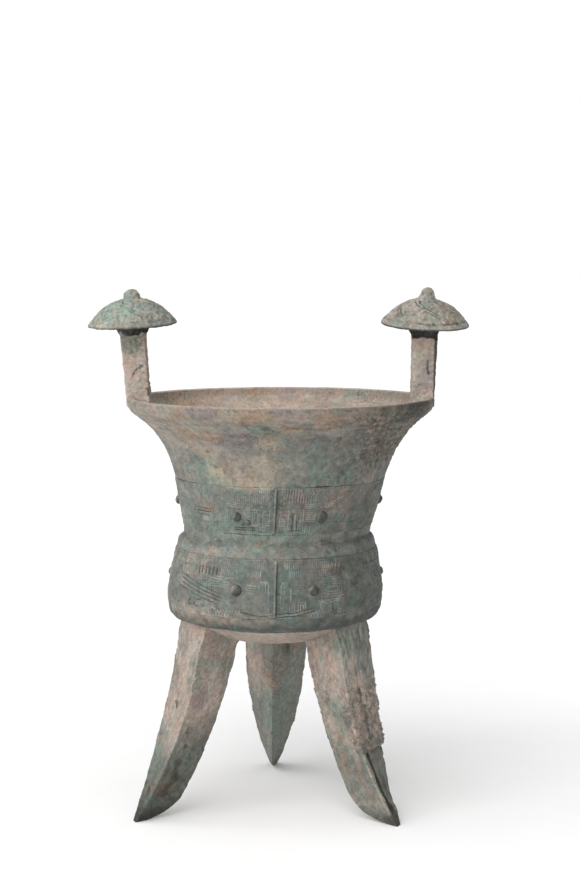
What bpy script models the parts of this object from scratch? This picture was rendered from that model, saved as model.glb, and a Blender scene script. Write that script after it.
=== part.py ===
"""An ancient cast bronze jia: a three-legged wine vessel with two capped posts on its lip.

The whole vessel is one casting, so it is one object. Metres, +Z up, front towards -Y.
Angles round the bowl are measured from the front, positive towards +X.
"""

import math

import bmesh
import bpy
from mathutils import Matrix, Vector

# Bowl, from the crease under the belly up to the lip
LEG_HEIGHT = 0.1217          # floor to the crease under the belly
CREASE_RADIUS = 0.0599
BASE_DEPTH = 0.0171          # how far the round base hangs below the crease
UNDER_HEIGHT = 0.0083        # the round turn from the crease into the belly
BELLY_RADIUS = 0.0670
BELLY_RISE = 0.0155          # crease to the widest part of the belly
SHOULDER_RADIUS = 0.0617
SHOULDER_RISE = 0.0459       # crease to the shoulder
NECK_RADIUS = 0.0577
NECK_RISE = 0.0057           # shoulder to the neck
FLARE_HEIGHT = 0.0781        # neck to the underside of the lip
FLARE_SLOPE = 0.0163         # how much the straight part of the flare widens
FLARE_CURL = 5.4             # how late the flare turns outward
RIM_RADIUS = 0.0955
LIP_BAND = 0.0071            # height of the upright edge of the lip
LIP_WIDTH = 0.0046
WALL = 0.0030
BOWL_SEGMENTS = 40

# Ornament bands, with a mask on each third of the bowl
BAND_RAISE = 0.0005
UPPER_BAND_RISE = 0.0064     # neck to the band's lower edge
UPPER_BAND_HEIGHT = 0.0295
LOWER_BAND_RISE = 0.0086     # crease to the band's lower edge
LOWER_BAND_HEIGHT = 0.0355
MASK_ANGLES = (0, 120, 240)
FLANGE_WIDTH = 0.0016
FLANGE_RAISE = 0.0013
LINE_WIDTH = 0.0017
LINE_RAISE = 0.0008
LINE_SINK = 0.0012           # how deep each raised form is rooted in the wall
LINE_ROOT = 1.3              # width of a raised line at its root, as a share of its width
LINE_TOP = 0.6               # and at its worn top
MASK_MIDDLE = 0.48           # share of a band's height at which a mask is centred
EYE_RADIUS = 0.0028
EYE_SIDES = 8
EYE_RAISE = 0.0024
EYE_DOME = ((0, 1), (0.45, 1), (0.85, 0.7), (1, 0.3))     # shares of its height and radius
UPPER_EYE_ANGLE = 24.4
LOWER_EYE_ANGLE = 20.5
EYE_RISES = {"upper": 0.0109, "lower": 0.0167}            # band's lower edge to an eye's middle
SIDE_EYE_ANGLE = 27.2        # on the upper band's two other masks
SIDE_EYE_RISE = 0.0142

# Legs, triangular in section with a ridge towards the middle
LEG_AZIMUTHS = {"left": 207, "right": 327, "rear": 89}    # counted from +X
LEG_FACINGS = {"left": 201, "right": 333, "rear": 87}     # where the broad face looks
LEG_OUTSET = {"left": 0, "right": 0.0014, "rear": 0.0008}
LEG_TOP_RADIUS = 0.0585
FOOT_RADIUS = 0.0930
LEG_SPLAY = 1.7
LEG_WIDTH = 0.0425
FOOT_WIDTH = 0.0050
LEG_TAPER = 2.7
LEG_DEPTH = {"left": 0.0345, "right": 0.0365, "rear": 0.0345}
HEEL_DEPTH = {"left": 0.0250, "right": 0.0275, "rear": 0.0250}
FOOT_DEPTH = 0.0080
HEEL_ROUND = 0.04            # share of the leg's height in which the heel rounds off
LEG_ROOT = 0.0010            # how deep the legs are rooted in the base
LEG_EDGE = 0.0016            # width of the worn edges of a leg
LEG_RINGS = 8
LEG_RING_CROWDING = 1.6      # above 1 the rings stand closer towards the foot
LEG_LAST_RING = 0.86         # share of the leg's height below its root
CHANNEL_HEIGHTS = (0.0073, 0.0146, 0.0243, 0.0365, 0.0450)     # worn channel, right leg's outer face
CHANNEL_DEPTH = 0.0026
CHANNEL_SLOPE = 0.9          # depth at its front edge, as a share of the depth at its back
CHANNEL_RUN_IN = 0.0170      # height at which the channel has its full depth
CHANNEL_EDGE = 0.0035        # metal left standing at the channel's front edge, at its top
CHANNEL_LOW_EDGE = 0.35      # share of that metal left standing at the floor

# Posts and their caps
POST_RADIUS = 0.0886         # from the bowl's axis to the middle of a post's foot
POST_RISE = 0.0390           # lip to the foot of the collar under the cap
POST_WIDTH = 0.0142
POST_TOP_WIDTH = 0.0158
POST_DEPTH = 0.0140
POST_EDGE = 0.0016
POST_ROOT = 0.0018           # how deep a post is rooted in the flare
POST_OUTWARD = {"left": 0.0044, "right": 0.0002}          # lean of a post at its top
CAP_RADIUS = 0.0275
CAP_HEIGHT = 0.0155
CAP_ROUNDNESS = 2.3          # 2 is a parabola; more is fuller
CAP_EDGE = 0.0012
CAP_ROLL = {"left": -2.4, "right": 2.2}                   # degrees, outer side down
CAP_NOD = {"left": 4.0, "right": 6.5}                     # degrees, front down
CAP_SEGMENTS = 22
COLLAR_RADIUS = 0.0115
COLLAR_HEIGHT = 0.0058
FINIAL_RADIUS = 0.0054
FINIAL_TOP_RADIUS = {"left": 0.0036, "right": 0.0024}
FINIAL_HEIGHT = {"left": 0.0056, "right": 0.0068}
FINIAL_CROWN = 0.0002        # how far the finial's top bulges
WHORL_COUNT = 5
WHORL_TURN = 95              # degrees that one whorl line turns
WHORL_WIDTH = 0.0013
WHORL_RAISE = 0.0007
WHORL_GAP = 0.0014           # gap between the finial and where a whorl line starts
WHORL_BORDER = 0.0019        # gap between where it ends and the cap's edge

# Strap handle at the back
HANDLE_WIDTH = 0.0220
HANDLE_THICKNESS = 0.0042
HANDLE_REACH = 0.0925        # from the bowl's axis to the strap's outer face
HANDLE_LOW = 0.0250          # crease to the middle of the lower root
HANDLE_HIGH = 0.0830         # crease to the middle of the upper root
HANDLE_STEPS = 8
HANDLE_SQUARENESS = 0.6      # 1 is a round bow; less is squarer
HANDLE_TURN = (0.8, 0.15)    # how the strap turns along the bow

# The bowl stands a little askew on its legs, as it came from the mould
LEAN = 0.026                 # sideways shift for each metre of height
BOW = 0.0013                 # how far the flare bows back over the neck

BELLY_HEIGHT = LEG_HEIGHT + BELLY_RISE
SHOULDER_HEIGHT = LEG_HEIGHT + SHOULDER_RISE
NECK_HEIGHT = SHOULDER_HEIGHT + NECK_RISE
LIP_HEIGHT = NECK_HEIGHT + FLARE_HEIGHT
RIM_HEIGHT = LIP_HEIGHT + LIP_BAND
BASE_CURVE = (CREASE_RADIUS ** 2 + BASE_DEPTH ** 2) / (2 * BASE_DEPTH)
BANDS = {
    "upper": (NECK_HEIGHT + UPPER_BAND_RISE, UPPER_BAND_HEIGHT, UPPER_EYE_ANGLE),
    "lower": (LEG_HEIGHT + LOWER_BAND_RISE, LOWER_BAND_HEIGHT, LOWER_EYE_ANGLE),
}


def clear_scene():
    for old in list(bpy.data.objects):
        bpy.data.objects.remove(old, do_unlink=True)


def plain_radius(height):
    """Radius of the bowl's outside at a height, without its ornament."""
    if height >= LIP_HEIGHT:
        return RIM_RADIUS
    if height >= NECK_HEIGHT:
        share = (height - NECK_HEIGHT) / FLARE_HEIGHT
        curl = RIM_RADIUS - NECK_RADIUS - FLARE_SLOPE
        return NECK_RADIUS + FLARE_SLOPE * share + curl * share ** FLARE_CURL
    if height >= SHOULDER_HEIGHT:
        share = (height - SHOULDER_HEIGHT) / NECK_RISE
        return NECK_RADIUS + (SHOULDER_RADIUS - NECK_RADIUS) * math.sqrt(1 - share ** 2)
    if height >= BELLY_HEIGHT:
        share = (height - BELLY_HEIGHT) / (SHOULDER_HEIGHT - BELLY_HEIGHT)
        return BELLY_RADIUS - (BELLY_RADIUS - SHOULDER_RADIUS) * share ** 1.5
    share = max(0.0, (LEG_HEIGHT + UNDER_HEIGHT - height) / UNDER_HEIGHT)
    return CREASE_RADIUS + (BELLY_RADIUS - CREASE_RADIUS) * math.sqrt(max(0.0, 1 - share ** 2))


def base_height(radius):
    """Height of the round base's outside at a distance from the bowl's axis."""
    bulge = BASE_CURVE - math.sqrt(BASE_CURVE ** 2 - min(radius, CREASE_RADIUS) ** 2)
    return LEG_HEIGHT - BASE_DEPTH + bulge


def spread(start, end, count):
    """Evenly spaced values from start up to, but without, end."""
    return [start + (end - start) * step / count for step in range(count)]


def inward(points, distance):
    """Moves an outline's points towards the bowl's inside, square to the outline."""
    moved = []
    for index in range(1, len(points) - 1):
        before, here, after = points[index - 1], points[index], points[index + 1]
        first = (here - before).normalized()
        second = (after - here).normalized()
        along = (first + second).normalized()
        mitre = max(0.7, along.dot(first))
        moved.append(here + Vector((along.y, -along.x)) * (distance / mitre))
    return moved


def side_outline(heights):
    return [Vector((plain_radius(height), height)) for height in heights]


def band_outline(band):
    """The raised field of an ornament band, listed from its top edge down."""
    low, tall, _ = BANDS[band]
    high = low + tall
    step = BAND_RAISE
    heights = [high, high - step, low + tall / 2, low + step, low]
    raises = [0, BAND_RAISE, BAND_RAISE, BAND_RAISE, 0]
    return [Vector((plain_radius(height) + lift, height)) for height, lift in zip(heights, raises)]


def bowl_outline():
    """Half section of the hollow bowl, from inside its bottom over the lip to below its base."""
    upper_low, upper_tall, _ = BANDS["upper"]
    lower_low, lower_tall, _ = BANDS["lower"]
    flare = side_outline(spread(LIP_HEIGHT, upper_low + upper_tall, 6))
    neck = side_outline([NECK_HEIGHT + UPPER_BAND_RISE / 2, NECK_HEIGHT])
    shoulder = side_outline([NECK_HEIGHT - NECK_RISE * share for share in (0.1, 0.45, 1)])
    turn = [math.radians(angle) for angle in (40, 65, 82)]
    under_top = LEG_HEIGHT + UNDER_HEIGHT
    under = side_outline([under_top - UNDER_HEIGHT * math.sin(angle) for angle in turn])
    rings = spread(CREASE_RADIUS, 0, 3)
    base = [Vector((radius, base_height(radius))) for radius in rings]
    pole = Vector((0, LEG_HEIGHT - BASE_DEPTH))
    bands = {name: band_outline(name) for name in BANDS}
    outside = flare + bands["upper"] + neck + shoulder + bands["lower"] + under + base

    plain_heights = spread(LIP_HEIGHT, NECK_HEIGHT, 5) + [NECK_HEIGHT, SHOULDER_HEIGHT]
    plain_heights += [BELLY_HEIGHT + BELLY_RISE, BELLY_HEIGHT, under_top]
    smooth = side_outline(plain_heights) + under[:2] + base[1:] + [pole]
    lining = inward([Vector((RIM_RADIUS, RIM_HEIGHT))] + smooth, WALL)
    lip_inside = Vector((RIM_RADIUS - LIP_WIDTH, RIM_HEIGHT))
    lining = [point for point in lining if point.y < LIP_HEIGHT - WALL / 3]
    inside_pole = pole + Vector((0, WALL))
    lip_outside = Vector((RIM_RADIUS, RIM_HEIGHT))
    return [inside_pole] + lining[::-1] + [lip_inside, lip_outside] + outside + [pole]


def leaned(mesh):
    """Shifts a mesh sideways with its height, so that the whole casting leans as one."""
    for vertex in mesh.verts:
        height = vertex.co.z
        share = (height - NECK_HEIGHT) / (RIM_HEIGHT - NECK_HEIGHT)
        vertex.co.x += LEAN * (height - RIM_HEIGHT)
        vertex.co.x += BOW * math.sin(math.pi * min(1, max(0, share)))


def add_object(name, mesh, smooth_angle=30):
    """Turns a bmesh into an object of the scene."""
    bmesh.ops.recalc_face_normals(mesh, faces=mesh.faces)
    leaned(mesh)
    data = bpy.data.meshes.new(name)
    mesh.to_mesh(data)
    mesh.free()
    data.shade_smooth()
    data.set_sharp_from_angle(angle=math.radians(smooth_angle))
    added = bpy.data.objects.new(name, data)
    bpy.context.scene.collection.objects.link(added)
    return added


def turned(outline, segments):
    """A solid turned about the Z axis; the outline starts and ends on the axis."""
    mesh = bmesh.new()
    points = [mesh.verts.new((point.x, 0, point.y)) for point in outline]
    edges = [mesh.edges.new(pair) for pair in zip(points, points[1:])]
    bmesh.ops.spin(mesh, geom=points + edges, axis=(0, 0, 1), cent=(0, 0, 0),
                   angle=math.tau, steps=segments, use_merge=True)
    bmesh.ops.remove_doubles(mesh, verts=mesh.verts, dist=0.00001)
    return mesh


def lofted(rings):
    """A closed solid through rings of equally many points, with a flat end on each end ring."""
    mesh = bmesh.new()
    made = [[mesh.verts.new(point) for point in ring] for ring in rings]
    for lower, upper in zip(made, made[1:]):
        for index in range(len(lower)):
            following = (index + 1) % len(lower)
            mesh.faces.new((lower[index], lower[following], upper[following], upper[index]))
    mesh.faces.new(made[0])
    mesh.faces.new(made[-1])
    return mesh


def on_bowl(angle, height, lift):
    """A point at an angle from the front and a height, lifted off the bowl's surface."""
    radius = plain_radius(height) + lift
    turn = math.radians(angle)
    return Vector((radius * math.sin(turn), -radius * math.cos(turn), height))


def raised_line(path, width, lift):
    """A raised line on the bowl, along a path of angles and heights, with sloping sides."""
    rings = []
    for index, (angle, height) in enumerate(path):
        before = on_bowl(*path[max(index - 1, 0)], 0)
        after = on_bowl(*path[min(index + 1, len(path) - 1)], 0)
        here = on_bowl(angle, height, 0)
        out = Vector((here.x, here.y, 0)).normalized()
        side = out.cross(after - before).normalized() * width / 2
        top = here + out * lift
        root = here - out * LINE_SINK
        rings.append([root - side * LINE_ROOT, root + side * LINE_ROOT,
                      top + side * LINE_TOP, top - side * LINE_TOP])
    return lofted(rings)


def curve_through(points, steps):
    """A smooth path through a few points of an angle and a height."""
    ends = [points[0]] + list(points) + [points[-1]]
    path = []
    for index in range(len(points) - 1):
        a, b, c, d = (Vector(point) for point in ends[index:index + 4])
        for share in spread(0, 1, steps):
            path.append(0.5 * (2 * b + (c - a) * share + (2 * a - 5 * b + 4 * c - d) * share ** 2
                               + (3 * b - a - 3 * c + d) * share ** 3))
    return [tuple(point) for point in path] + [points[-1]]


def mask_lines(band):
    """The main curled lines of half a mask: brow, jaw and body, as angles and heights."""
    low, tall, eye = BANDS[band]
    middle = low + tall * MASK_MIDDLE
    brow = [(4, 0.33), (eye * 0.6, 0.33), (eye * 1.35, 0.27), (eye * 1.55, 0.02), (eye * 1.3, -0.06)]
    jaw = [(4, -0.33), (eye * 0.55, -0.33), (eye * 0.66, -0.12)]
    body = [(eye * 1.2, -0.32), (eye * 1.75, -0.32), (eye * 1.98, -0.05), (eye * 1.85, 0.22)]
    lines = []
    for points in (brow, jaw, body):
        lines.append([(angle, middle + share * tall) for angle, share in points])
    return lines


def build_masks():
    """Flange, eyes and curled lines of every mask on both bands."""
    made = []
    for band, (low, tall, eye) in BANDS.items():
        field = BAND_RAISE
        for turn in MASK_ANGLES:
            ridge = [(turn, low + tall * share) for share in (0.01, 0.35, 0.7, 0.99)]
            made.append(raised_line(ridge, FLANGE_WIDTH, field + FLANGE_RAISE))
            angle, rise = eye, EYE_RISES[band]
            if band == "upper" and turn:
                angle, rise = SIDE_EYE_ANGLE, SIDE_EYE_RISE
            for side in (-1, 1):
                made.append(eye_boss(turn + side * angle, low + rise))
                for line in mask_lines(band):
                    path = curve_through([(turn + side * away, height) for away, height in line], 2)
                    made.append(raised_line(path, LINE_WIDTH, field + LINE_RAISE))
    return [add_object(f"mask_form_{index}", mesh) for index, mesh in enumerate(made)]


def eye_boss(angle, height):
    """A round boss for an eye, standing square to the bowl."""
    profile = [(BAND_RAISE + EYE_RAISE * rise, share) for rise, share in EYE_DOME]
    profile[0] = (-LINE_SINK, profile[0][1])
    centre = on_bowl(angle, height, 0)
    out = Vector((centre.x, centre.y, 0)).normalized()
    across = out.cross(Vector((0, 0, 1)))
    rings = []
    for lift, share in profile:
        ring = []
        for step in range(EYE_SIDES):
            turn = math.tau * step / EYE_SIDES
            spoke = across * math.cos(turn) + Vector((0, 0, 1)) * math.sin(turn)
            ring.append(centre + out * lift + spoke * EYE_RADIUS * share)
        rings.append(ring)
    return lofted(rings)


def direction(azimuth):
    turn = math.radians(azimuth)
    return Vector((math.cos(turn), math.sin(turn), 0))


def leg_section(name, share):
    """The points of a leg's worn triangular section; share runs from 0 at the floor to 1."""
    outward = direction(LEG_FACINGS[name])
    across = Vector((-outward.y, outward.x, 0))
    reach = LEG_TOP_RADIUS + (FOOT_RADIUS - LEG_TOP_RADIUS) * (1 - share) ** LEG_SPLAY
    width = FOOT_WIDTH + (LEG_WIDTH - FOOT_WIDTH) * (1 - (1 - share) ** LEG_TAPER)
    heel = (HEEL_DEPTH[name] - FOOT_DEPTH) * (1 - math.exp(-share / HEEL_ROUND))
    depth = FOOT_DEPTH + heel + (LEG_DEPTH[name] - HEEL_DEPTH[name]) * share
    middle = direction(LEG_AZIMUTHS[name]) * (reach + LEG_OUTSET[name])
    middle.z = share * LEG_HEIGHT
    corners = [middle + across * width / 2, middle - across * width / 2, middle - outward * depth]
    edge = min(LEG_EDGE, width / 4)
    section = []
    for index, corner in enumerate(corners):
        for other in (corners[index - 1], corners[(index + 1) % 3]):
            section.append(corner + (other - corner).normalized() * edge)
    return section


def build_leg(name):
    """One leg, from its flat foot to its root in the base."""
    shares = [(step / LEG_RINGS) ** LEG_RING_CROWDING for step in range(LEG_RINGS + 1)]
    rings = [leg_section(name, share * LEG_LAST_RING) for share in shares]
    root = leg_section(name, 1)
    for point in root:
        radius = math.hypot(point.x, point.y)
        inside = min(radius, CREASE_RADIUS - LEG_ROOT)
        point.x *= inside / radius
        point.y *= inside / radius
        point.z = base_height(inside) + LEG_ROOT
    return add_object(f"leg_form_{name}", lofted(rings + [root]))


def build_channel():
    """What is worn away from the outer face of the right leg above its foot."""
    name = "right"
    outward = direction(LEG_FACINGS[name])
    rings = []
    for height in CHANNEL_HEIGHTS:
        section = leg_section(name, height / LEG_HEIGHT)
        back, front = section[1], section[2]
        across = (front - back).normalized()
        start = back - across * LEG_WIDTH
        standing = CHANNEL_EDGE * min(1, CHANNEL_LOW_EDGE + height / CHANNEL_HEIGHTS[-1])
        end = front + across * (LEG_EDGE - standing)
        deep = CHANNEL_DEPTH * min(1, height / CHANNEL_RUN_IN)
        rings.append([start - outward * deep, end - outward * deep * CHANNEL_SLOPE,
                      end + outward * LEG_WIDTH, start + outward * LEG_WIDTH])
    return add_object("channel_cut", lofted(rings))


def chamfered(centre, width, depth, edge):
    """A rectangle with cut corners, level at its centre."""
    half_x = width / 2
    half_y = depth / 2
    outline = [(half_x, edge - half_y), (half_x, half_y - edge), (half_x - edge, half_y),
               (edge - half_x, half_y), (-half_x, half_y - edge), (-half_x, edge - half_y),
               (edge - half_x, -half_y), (half_x - edge, -half_y)]
    return [centre + Vector((x, y, 0)) for x, y in outline]


def build_post(name, side):
    """One post, rooted in the flare below the lip and running up to its cap."""
    foot_inner = POST_RADIUS - POST_WIDTH / 2
    foot_outer = POST_RADIUS + POST_WIDTH / 2
    foot = chamfered(Vector((side * POST_RADIUS, 0, 0)), POST_WIDTH, POST_DEPTH, POST_EDGE)
    inner_height = height_of_flare(foot_inner) + POST_ROOT
    outer_height = LIP_HEIGHT + POST_ROOT
    for point in foot:
        share = (abs(point.x) - foot_inner) / (foot_outer - foot_inner)
        point.z = inner_height + (outer_height - inner_height) * share
    lip = chamfered(Vector((side * POST_RADIUS, 0, RIM_HEIGHT)), POST_WIDTH, POST_DEPTH, POST_EDGE)
    top = chamfered(cap_centre(name, side), POST_TOP_WIDTH, POST_DEPTH, POST_EDGE)
    return add_object(f"post_form_{name}", lofted([foot, lip, top]))


def cap_centre(name, side):
    """The middle of a cap's underside, where its post and its collar end."""
    height = RIM_HEIGHT + POST_RISE + COLLAR_HEIGHT
    return Vector((side * (POST_RADIUS + POST_OUTWARD[name]), 0, height))


def height_of_flare(radius):
    """The height at which the flare's outside reaches a radius, by halving the interval."""
    low, high = NECK_HEIGHT, LIP_HEIGHT
    for _ in range(30):
        middle = (low + high) / 2
        if plain_radius(middle) < radius:
            low = middle
        else:
            high = middle
    return low


def cap_height(radius):
    """Height of the cap's dome above its rim."""
    return CAP_EDGE + CAP_HEIGHT * (1 - (radius / CAP_RADIUS) ** CAP_ROUNDNESS)


def cap_outline(name):
    """Half section of a cap with its finial and the collar below it, from the top down."""
    tip = CAP_EDGE + CAP_HEIGHT + FINIAL_HEIGHT[name]
    finial_top = FINIAL_TOP_RADIUS[name]
    points = [(0, tip), (finial_top * 0.8, tip - FINIAL_CROWN), (finial_top, tip - finial_top / 4)]
    points.append((FINIAL_RADIUS, cap_height(FINIAL_RADIUS)))
    for radius in spread(FINIAL_RADIUS, CAP_RADIUS, 4)[1:]:
        points.append((radius, cap_height(radius)))
    points += [(CAP_RADIUS, CAP_EDGE), (CAP_RADIUS, 0), (COLLAR_RADIUS, 0)]
    points += [(POST_TOP_WIDTH / 2, -COLLAR_HEIGHT), (0, -COLLAR_HEIGHT)]
    return [Vector(point) for point in points]


def whorl_line(name, start):
    """One curved raised line on a cap's dome, turning as it runs outward."""
    rings = []
    for share in spread(0, 1, 4) + [1]:
        first = FINIAL_RADIUS + WHORL_GAP
        radius = first + (CAP_RADIUS - WHORL_BORDER - first) * share
        turn = math.radians(start + WHORL_TURN * share)
        spoke = Vector((math.cos(turn), math.sin(turn), 0))
        here = spoke * radius + Vector((0, 0, cap_height(radius)))
        slope = (cap_height(radius - WHORL_WIDTH) - cap_height(radius)) / WHORL_WIDTH
        out = (spoke * slope + Vector((0, 0, 1))).normalized()
        along = spoke + Vector((0, 0, 1)).cross(spoke) * math.radians(WHORL_TURN)
        side = out.cross(along).normalized() * WHORL_WIDTH / 2
        root = here - out * LINE_SINK
        top = here + out * WHORL_RAISE
        rings.append([root - side * LINE_ROOT, root + side * LINE_ROOT,
                      top + side * LINE_TOP, top - side * LINE_TOP])
    return lofted(rings)


def build_cap(name, side):
    """A cap with its finial, collar and whorl, tilted and set on its post."""
    tilt = Matrix.Rotation(math.radians(CAP_ROLL[name]), 4, "Y")
    tilt = tilt @ Matrix.Rotation(math.radians(CAP_NOD[name]), 4, "X")
    place = Matrix.Translation(cap_centre(name, side)) @ tilt
    forms = [turned(cap_outline(name), CAP_SEGMENTS)]
    forms += [whorl_line(name, start) for start in spread(0, 360, WHORL_COUNT)]
    for mesh in forms:
        bmesh.ops.transform(mesh, matrix=place, verts=mesh.verts)
    return [add_object(f"cap_form_{name}_{index}", mesh) for index, mesh in enumerate(forms)]


def build_handle():
    """The strap handle at the back, a flat strip bent to a bow and rooted in the wall."""
    low = LEG_HEIGHT + HANDLE_LOW
    high = LEG_HEIGHT + HANDLE_HIGH
    centre_height = (low + high) / 2
    root_depth = min(plain_radius(low), plain_radius(high)) - WALL / 2
    reach = HANDLE_REACH - HANDLE_THICKNESS / 2 - root_depth
    rings = []
    for step in range(HANDLE_STEPS + 1):
        turn = math.pi * step / HANDLE_STEPS
        out = math.sin(turn) ** HANDLE_SQUARENESS
        rise = -math.cos(turn)
        outward, upward = HANDLE_TURN
        tangent = Vector((0, math.cos(turn) * outward, math.sin(turn) + upward)).normalized()
        if step in (0, HANDLE_STEPS):
            tangent = Vector((0, 1 if step == 0 else -1, 0))
        normal = Vector((0, tangent.z, -tangent.y))
        middle = Vector((0, root_depth + reach * out, centre_height + rise * (high - low) / 2))
        across = Vector((HANDLE_WIDTH / 2, 0, 0))
        thick = normal * HANDLE_THICKNESS / 2
        rings.append([middle - across - thick, middle + across - thick,
                      middle + across + thick, middle - across + thick])
    return add_object("handle_form", lofted(rings))


def group(name, members):
    """Gathers helper forms that a Boolean reads, and keeps them out of the finished model."""
    gathered = bpy.data.collections.new(name)
    for member in members:
        gathered.objects.link(member)
        member.hide_render = True
        member.display_type = "WIRE"
    return gathered


def centred(vessel):
    """Moves the finished vessel so that its bounding box stands centred on the origin."""
    bpy.context.view_layer.update()
    graph = bpy.context.evaluated_depsgraph_get()
    corners = [Vector(corner) for corner in vessel.evaluated_get(graph).bound_box]
    low = Vector(min(corner[axis] for corner in corners) for axis in range(3))
    high = Vector(max(corner[axis] for corner in corners) for axis in range(3))
    shift = Vector(((low.x + high.x) / 2, (low.y + high.y) / 2, low.z))
    for placed in bpy.data.objects:
        placed.location -= shift


def combine(target, operation, members):
    modifier = target.modifiers.new(operation.lower(), "BOOLEAN")
    modifier.operation = operation
    modifier.operand_type = "COLLECTION"
    modifier.collection = group(f"{operation.lower()}_forms", members)
    modifier.solver = "EXACT"
    modifier.use_self = True


def bronze():
    material = bpy.data.materials.new("patinated bronze")
    material.use_nodes = True
    shader = material.node_tree.nodes["Principled BSDF"]
    shader.inputs["Base Color"].default_value = (0.21, 0.22, 0.19, 1)
    shader.inputs["Roughness"].default_value = 0.75
    shader.inputs["Metallic"].default_value = 0.2
    return material


def main():
    clear_scene()
    jia = add_object("jia", turned(bowl_outline(), BOWL_SEGMENTS))
    jia.data.materials.append(bronze())
    forms = [build_leg(name) for name in LEG_AZIMUTHS]
    for name, side in (("left", -1), ("right", 1)):
        forms.append(build_post(name, side))
        forms += build_cap(name, side)
    forms.append(build_handle())
    forms += build_masks()
    combine(jia, "UNION", forms)
    combine(jia, "DIFFERENCE", [build_channel()])
    centred(jia)


main()
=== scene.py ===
# %% [markdown]
# A bronze jia, a wine vessel of early Shang China: a round bowl on three horn-like legs, with two capped posts on
# its lip and a strap handle at the back. It was cast in clay moulds and then buried, and its skin is now corrosion:
# grey-green, buff and pinkish crusts over the metal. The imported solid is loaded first, as a frame. It has the right
# size and main forms, and the pieces modelled here stand for it: finer, worn and corroded.

# %% Load the frame
import math
import bpy
import numpy as np
from mathutils import Matrix, Vector, noise


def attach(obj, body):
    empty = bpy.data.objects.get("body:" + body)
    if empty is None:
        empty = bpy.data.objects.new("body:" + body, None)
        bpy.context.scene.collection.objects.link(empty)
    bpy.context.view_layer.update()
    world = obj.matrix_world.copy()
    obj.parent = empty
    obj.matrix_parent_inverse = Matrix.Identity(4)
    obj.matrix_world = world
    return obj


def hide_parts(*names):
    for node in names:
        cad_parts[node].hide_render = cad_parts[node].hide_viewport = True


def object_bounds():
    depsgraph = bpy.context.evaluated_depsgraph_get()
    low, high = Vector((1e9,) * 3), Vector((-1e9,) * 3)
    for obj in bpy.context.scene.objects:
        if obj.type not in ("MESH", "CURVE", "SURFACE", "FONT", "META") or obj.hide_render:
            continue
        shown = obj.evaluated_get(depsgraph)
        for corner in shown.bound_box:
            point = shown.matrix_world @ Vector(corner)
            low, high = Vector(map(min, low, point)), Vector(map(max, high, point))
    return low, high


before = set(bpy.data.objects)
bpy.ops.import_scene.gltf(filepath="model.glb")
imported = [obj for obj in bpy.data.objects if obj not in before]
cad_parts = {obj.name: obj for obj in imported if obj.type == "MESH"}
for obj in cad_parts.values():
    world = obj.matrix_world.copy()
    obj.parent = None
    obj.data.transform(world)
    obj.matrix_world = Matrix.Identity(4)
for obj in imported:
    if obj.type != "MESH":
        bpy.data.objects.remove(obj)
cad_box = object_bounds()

low_corner, high_corner = cad_box
print("box in mm:", [round(1000 * value, 1) for corner in cad_box for value in corner])

# %% [markdown]
# The camera looks at the vessel from a little above the lip, from about 1.16 metres and 5.3 degrees down, as the
# photograph does. A long lens keeps the perspective mild. It is 1870 pixels long, in an image whose longer side has
# 870 pixels, so it is as many times longer than the film is wide.

# %% Camera
LOOK_DOWN, FILM_WIDTH, LENS_PIXELS, IMAGE_PIXELS = 0.092, 36, 1870, 870
bpy.ops.object.camera_add(location=(0.0070, -1.1645, 0.34195), rotation=(math.pi / 2 - LOOK_DOWN, 0, 0))
camera = bpy.context.object
camera.name = "camera"
camera.data.sensor_width = FILM_WIDTH
camera.data.lens = FILM_WIDTH * LENS_PIXELS / IMAGE_PIXELS
bpy.context.scene.camera = camera
print("lens in mm:", round(camera.data.lens, 2))

# %% [markdown]
# A studio table: a pale floor that runs out of sight, a white surround that lights everything evenly, and three wide
# soft lamps: a key at the upper left front, a low one at the left, and one from above. They make the left side of the
# vessel lighter than the right one.

# %% Floor, surround and lamps
bpy.ops.mesh.primitive_plane_add(size=60)
floor = bpy.context.object
floor.name = "floor"

world = bpy.data.worlds.new("white surround")
bpy.context.scene.world = world
world.use_nodes = True
surround = world.node_tree
lighting = surround.nodes["Background"]
lighting.inputs["Color"].default_value = (1, 1, 1, 1)
lighting.inputs["Strength"].default_value = 0.32
backdrop = surround.nodes.new("ShaderNodeBackground")
backdrop.inputs["Color"].default_value = (1, 1, 1, 1)
either = surround.nodes.new("ShaderNodeMixShader")
path = surround.nodes.new("ShaderNodeLightPath")
surround.links.new(path.outputs["Is Camera Ray"], either.inputs[0])
surround.links.new(lighting.outputs[0], either.inputs[1])
surround.links.new(backdrop.outputs[0], either.inputs[2])
surround.links.new(either.outputs[0], surround.nodes["World Output"].inputs[0])


def soft_lamp(name, turn, rise, strength, spread):
    """A far, wide lamp: turn is its direction from the front, counted to the right, and rise its height, in degrees."""
    bpy.ops.object.light_add(type="SUN", location=(0, 0, 1))
    lamp = bpy.context.object
    lamp.name = name
    lamp.data.energy = strength
    lamp.data.angle = math.radians(spread)
    lamp.rotation_euler = (math.radians(90 - rise), 0, math.radians(turn))
    return lamp


soft_lamp("key softbox", -26, 38, 1.85, 60)
soft_lamp("side softbox", -84, 25, 0.85, 60)
soft_lamp("top softbox", -10, 76, 1.05, 90)
bpy.context.scene.view_settings.view_transform = "Standard"

# %% [markdown]
# Every material here is built the same way: a colour from sRGB hex, and nodes that are added one by one with their
# settings and links. A pattern's scale is worked out from a real size in millimetres.

# %% Colour and node helpers
def colour(code):
    """Turns an sRGB hex colour to the linear values that shaders use."""
    parts = [int(code[index:index + 2], 16) / 255 for index in (1, 3, 5)]
    linear = [part / 12.92 if part <= 0.04045 else ((part + 0.055) / 1.055) ** 2.4 for part in parts]
    return (*linear, 1)


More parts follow.
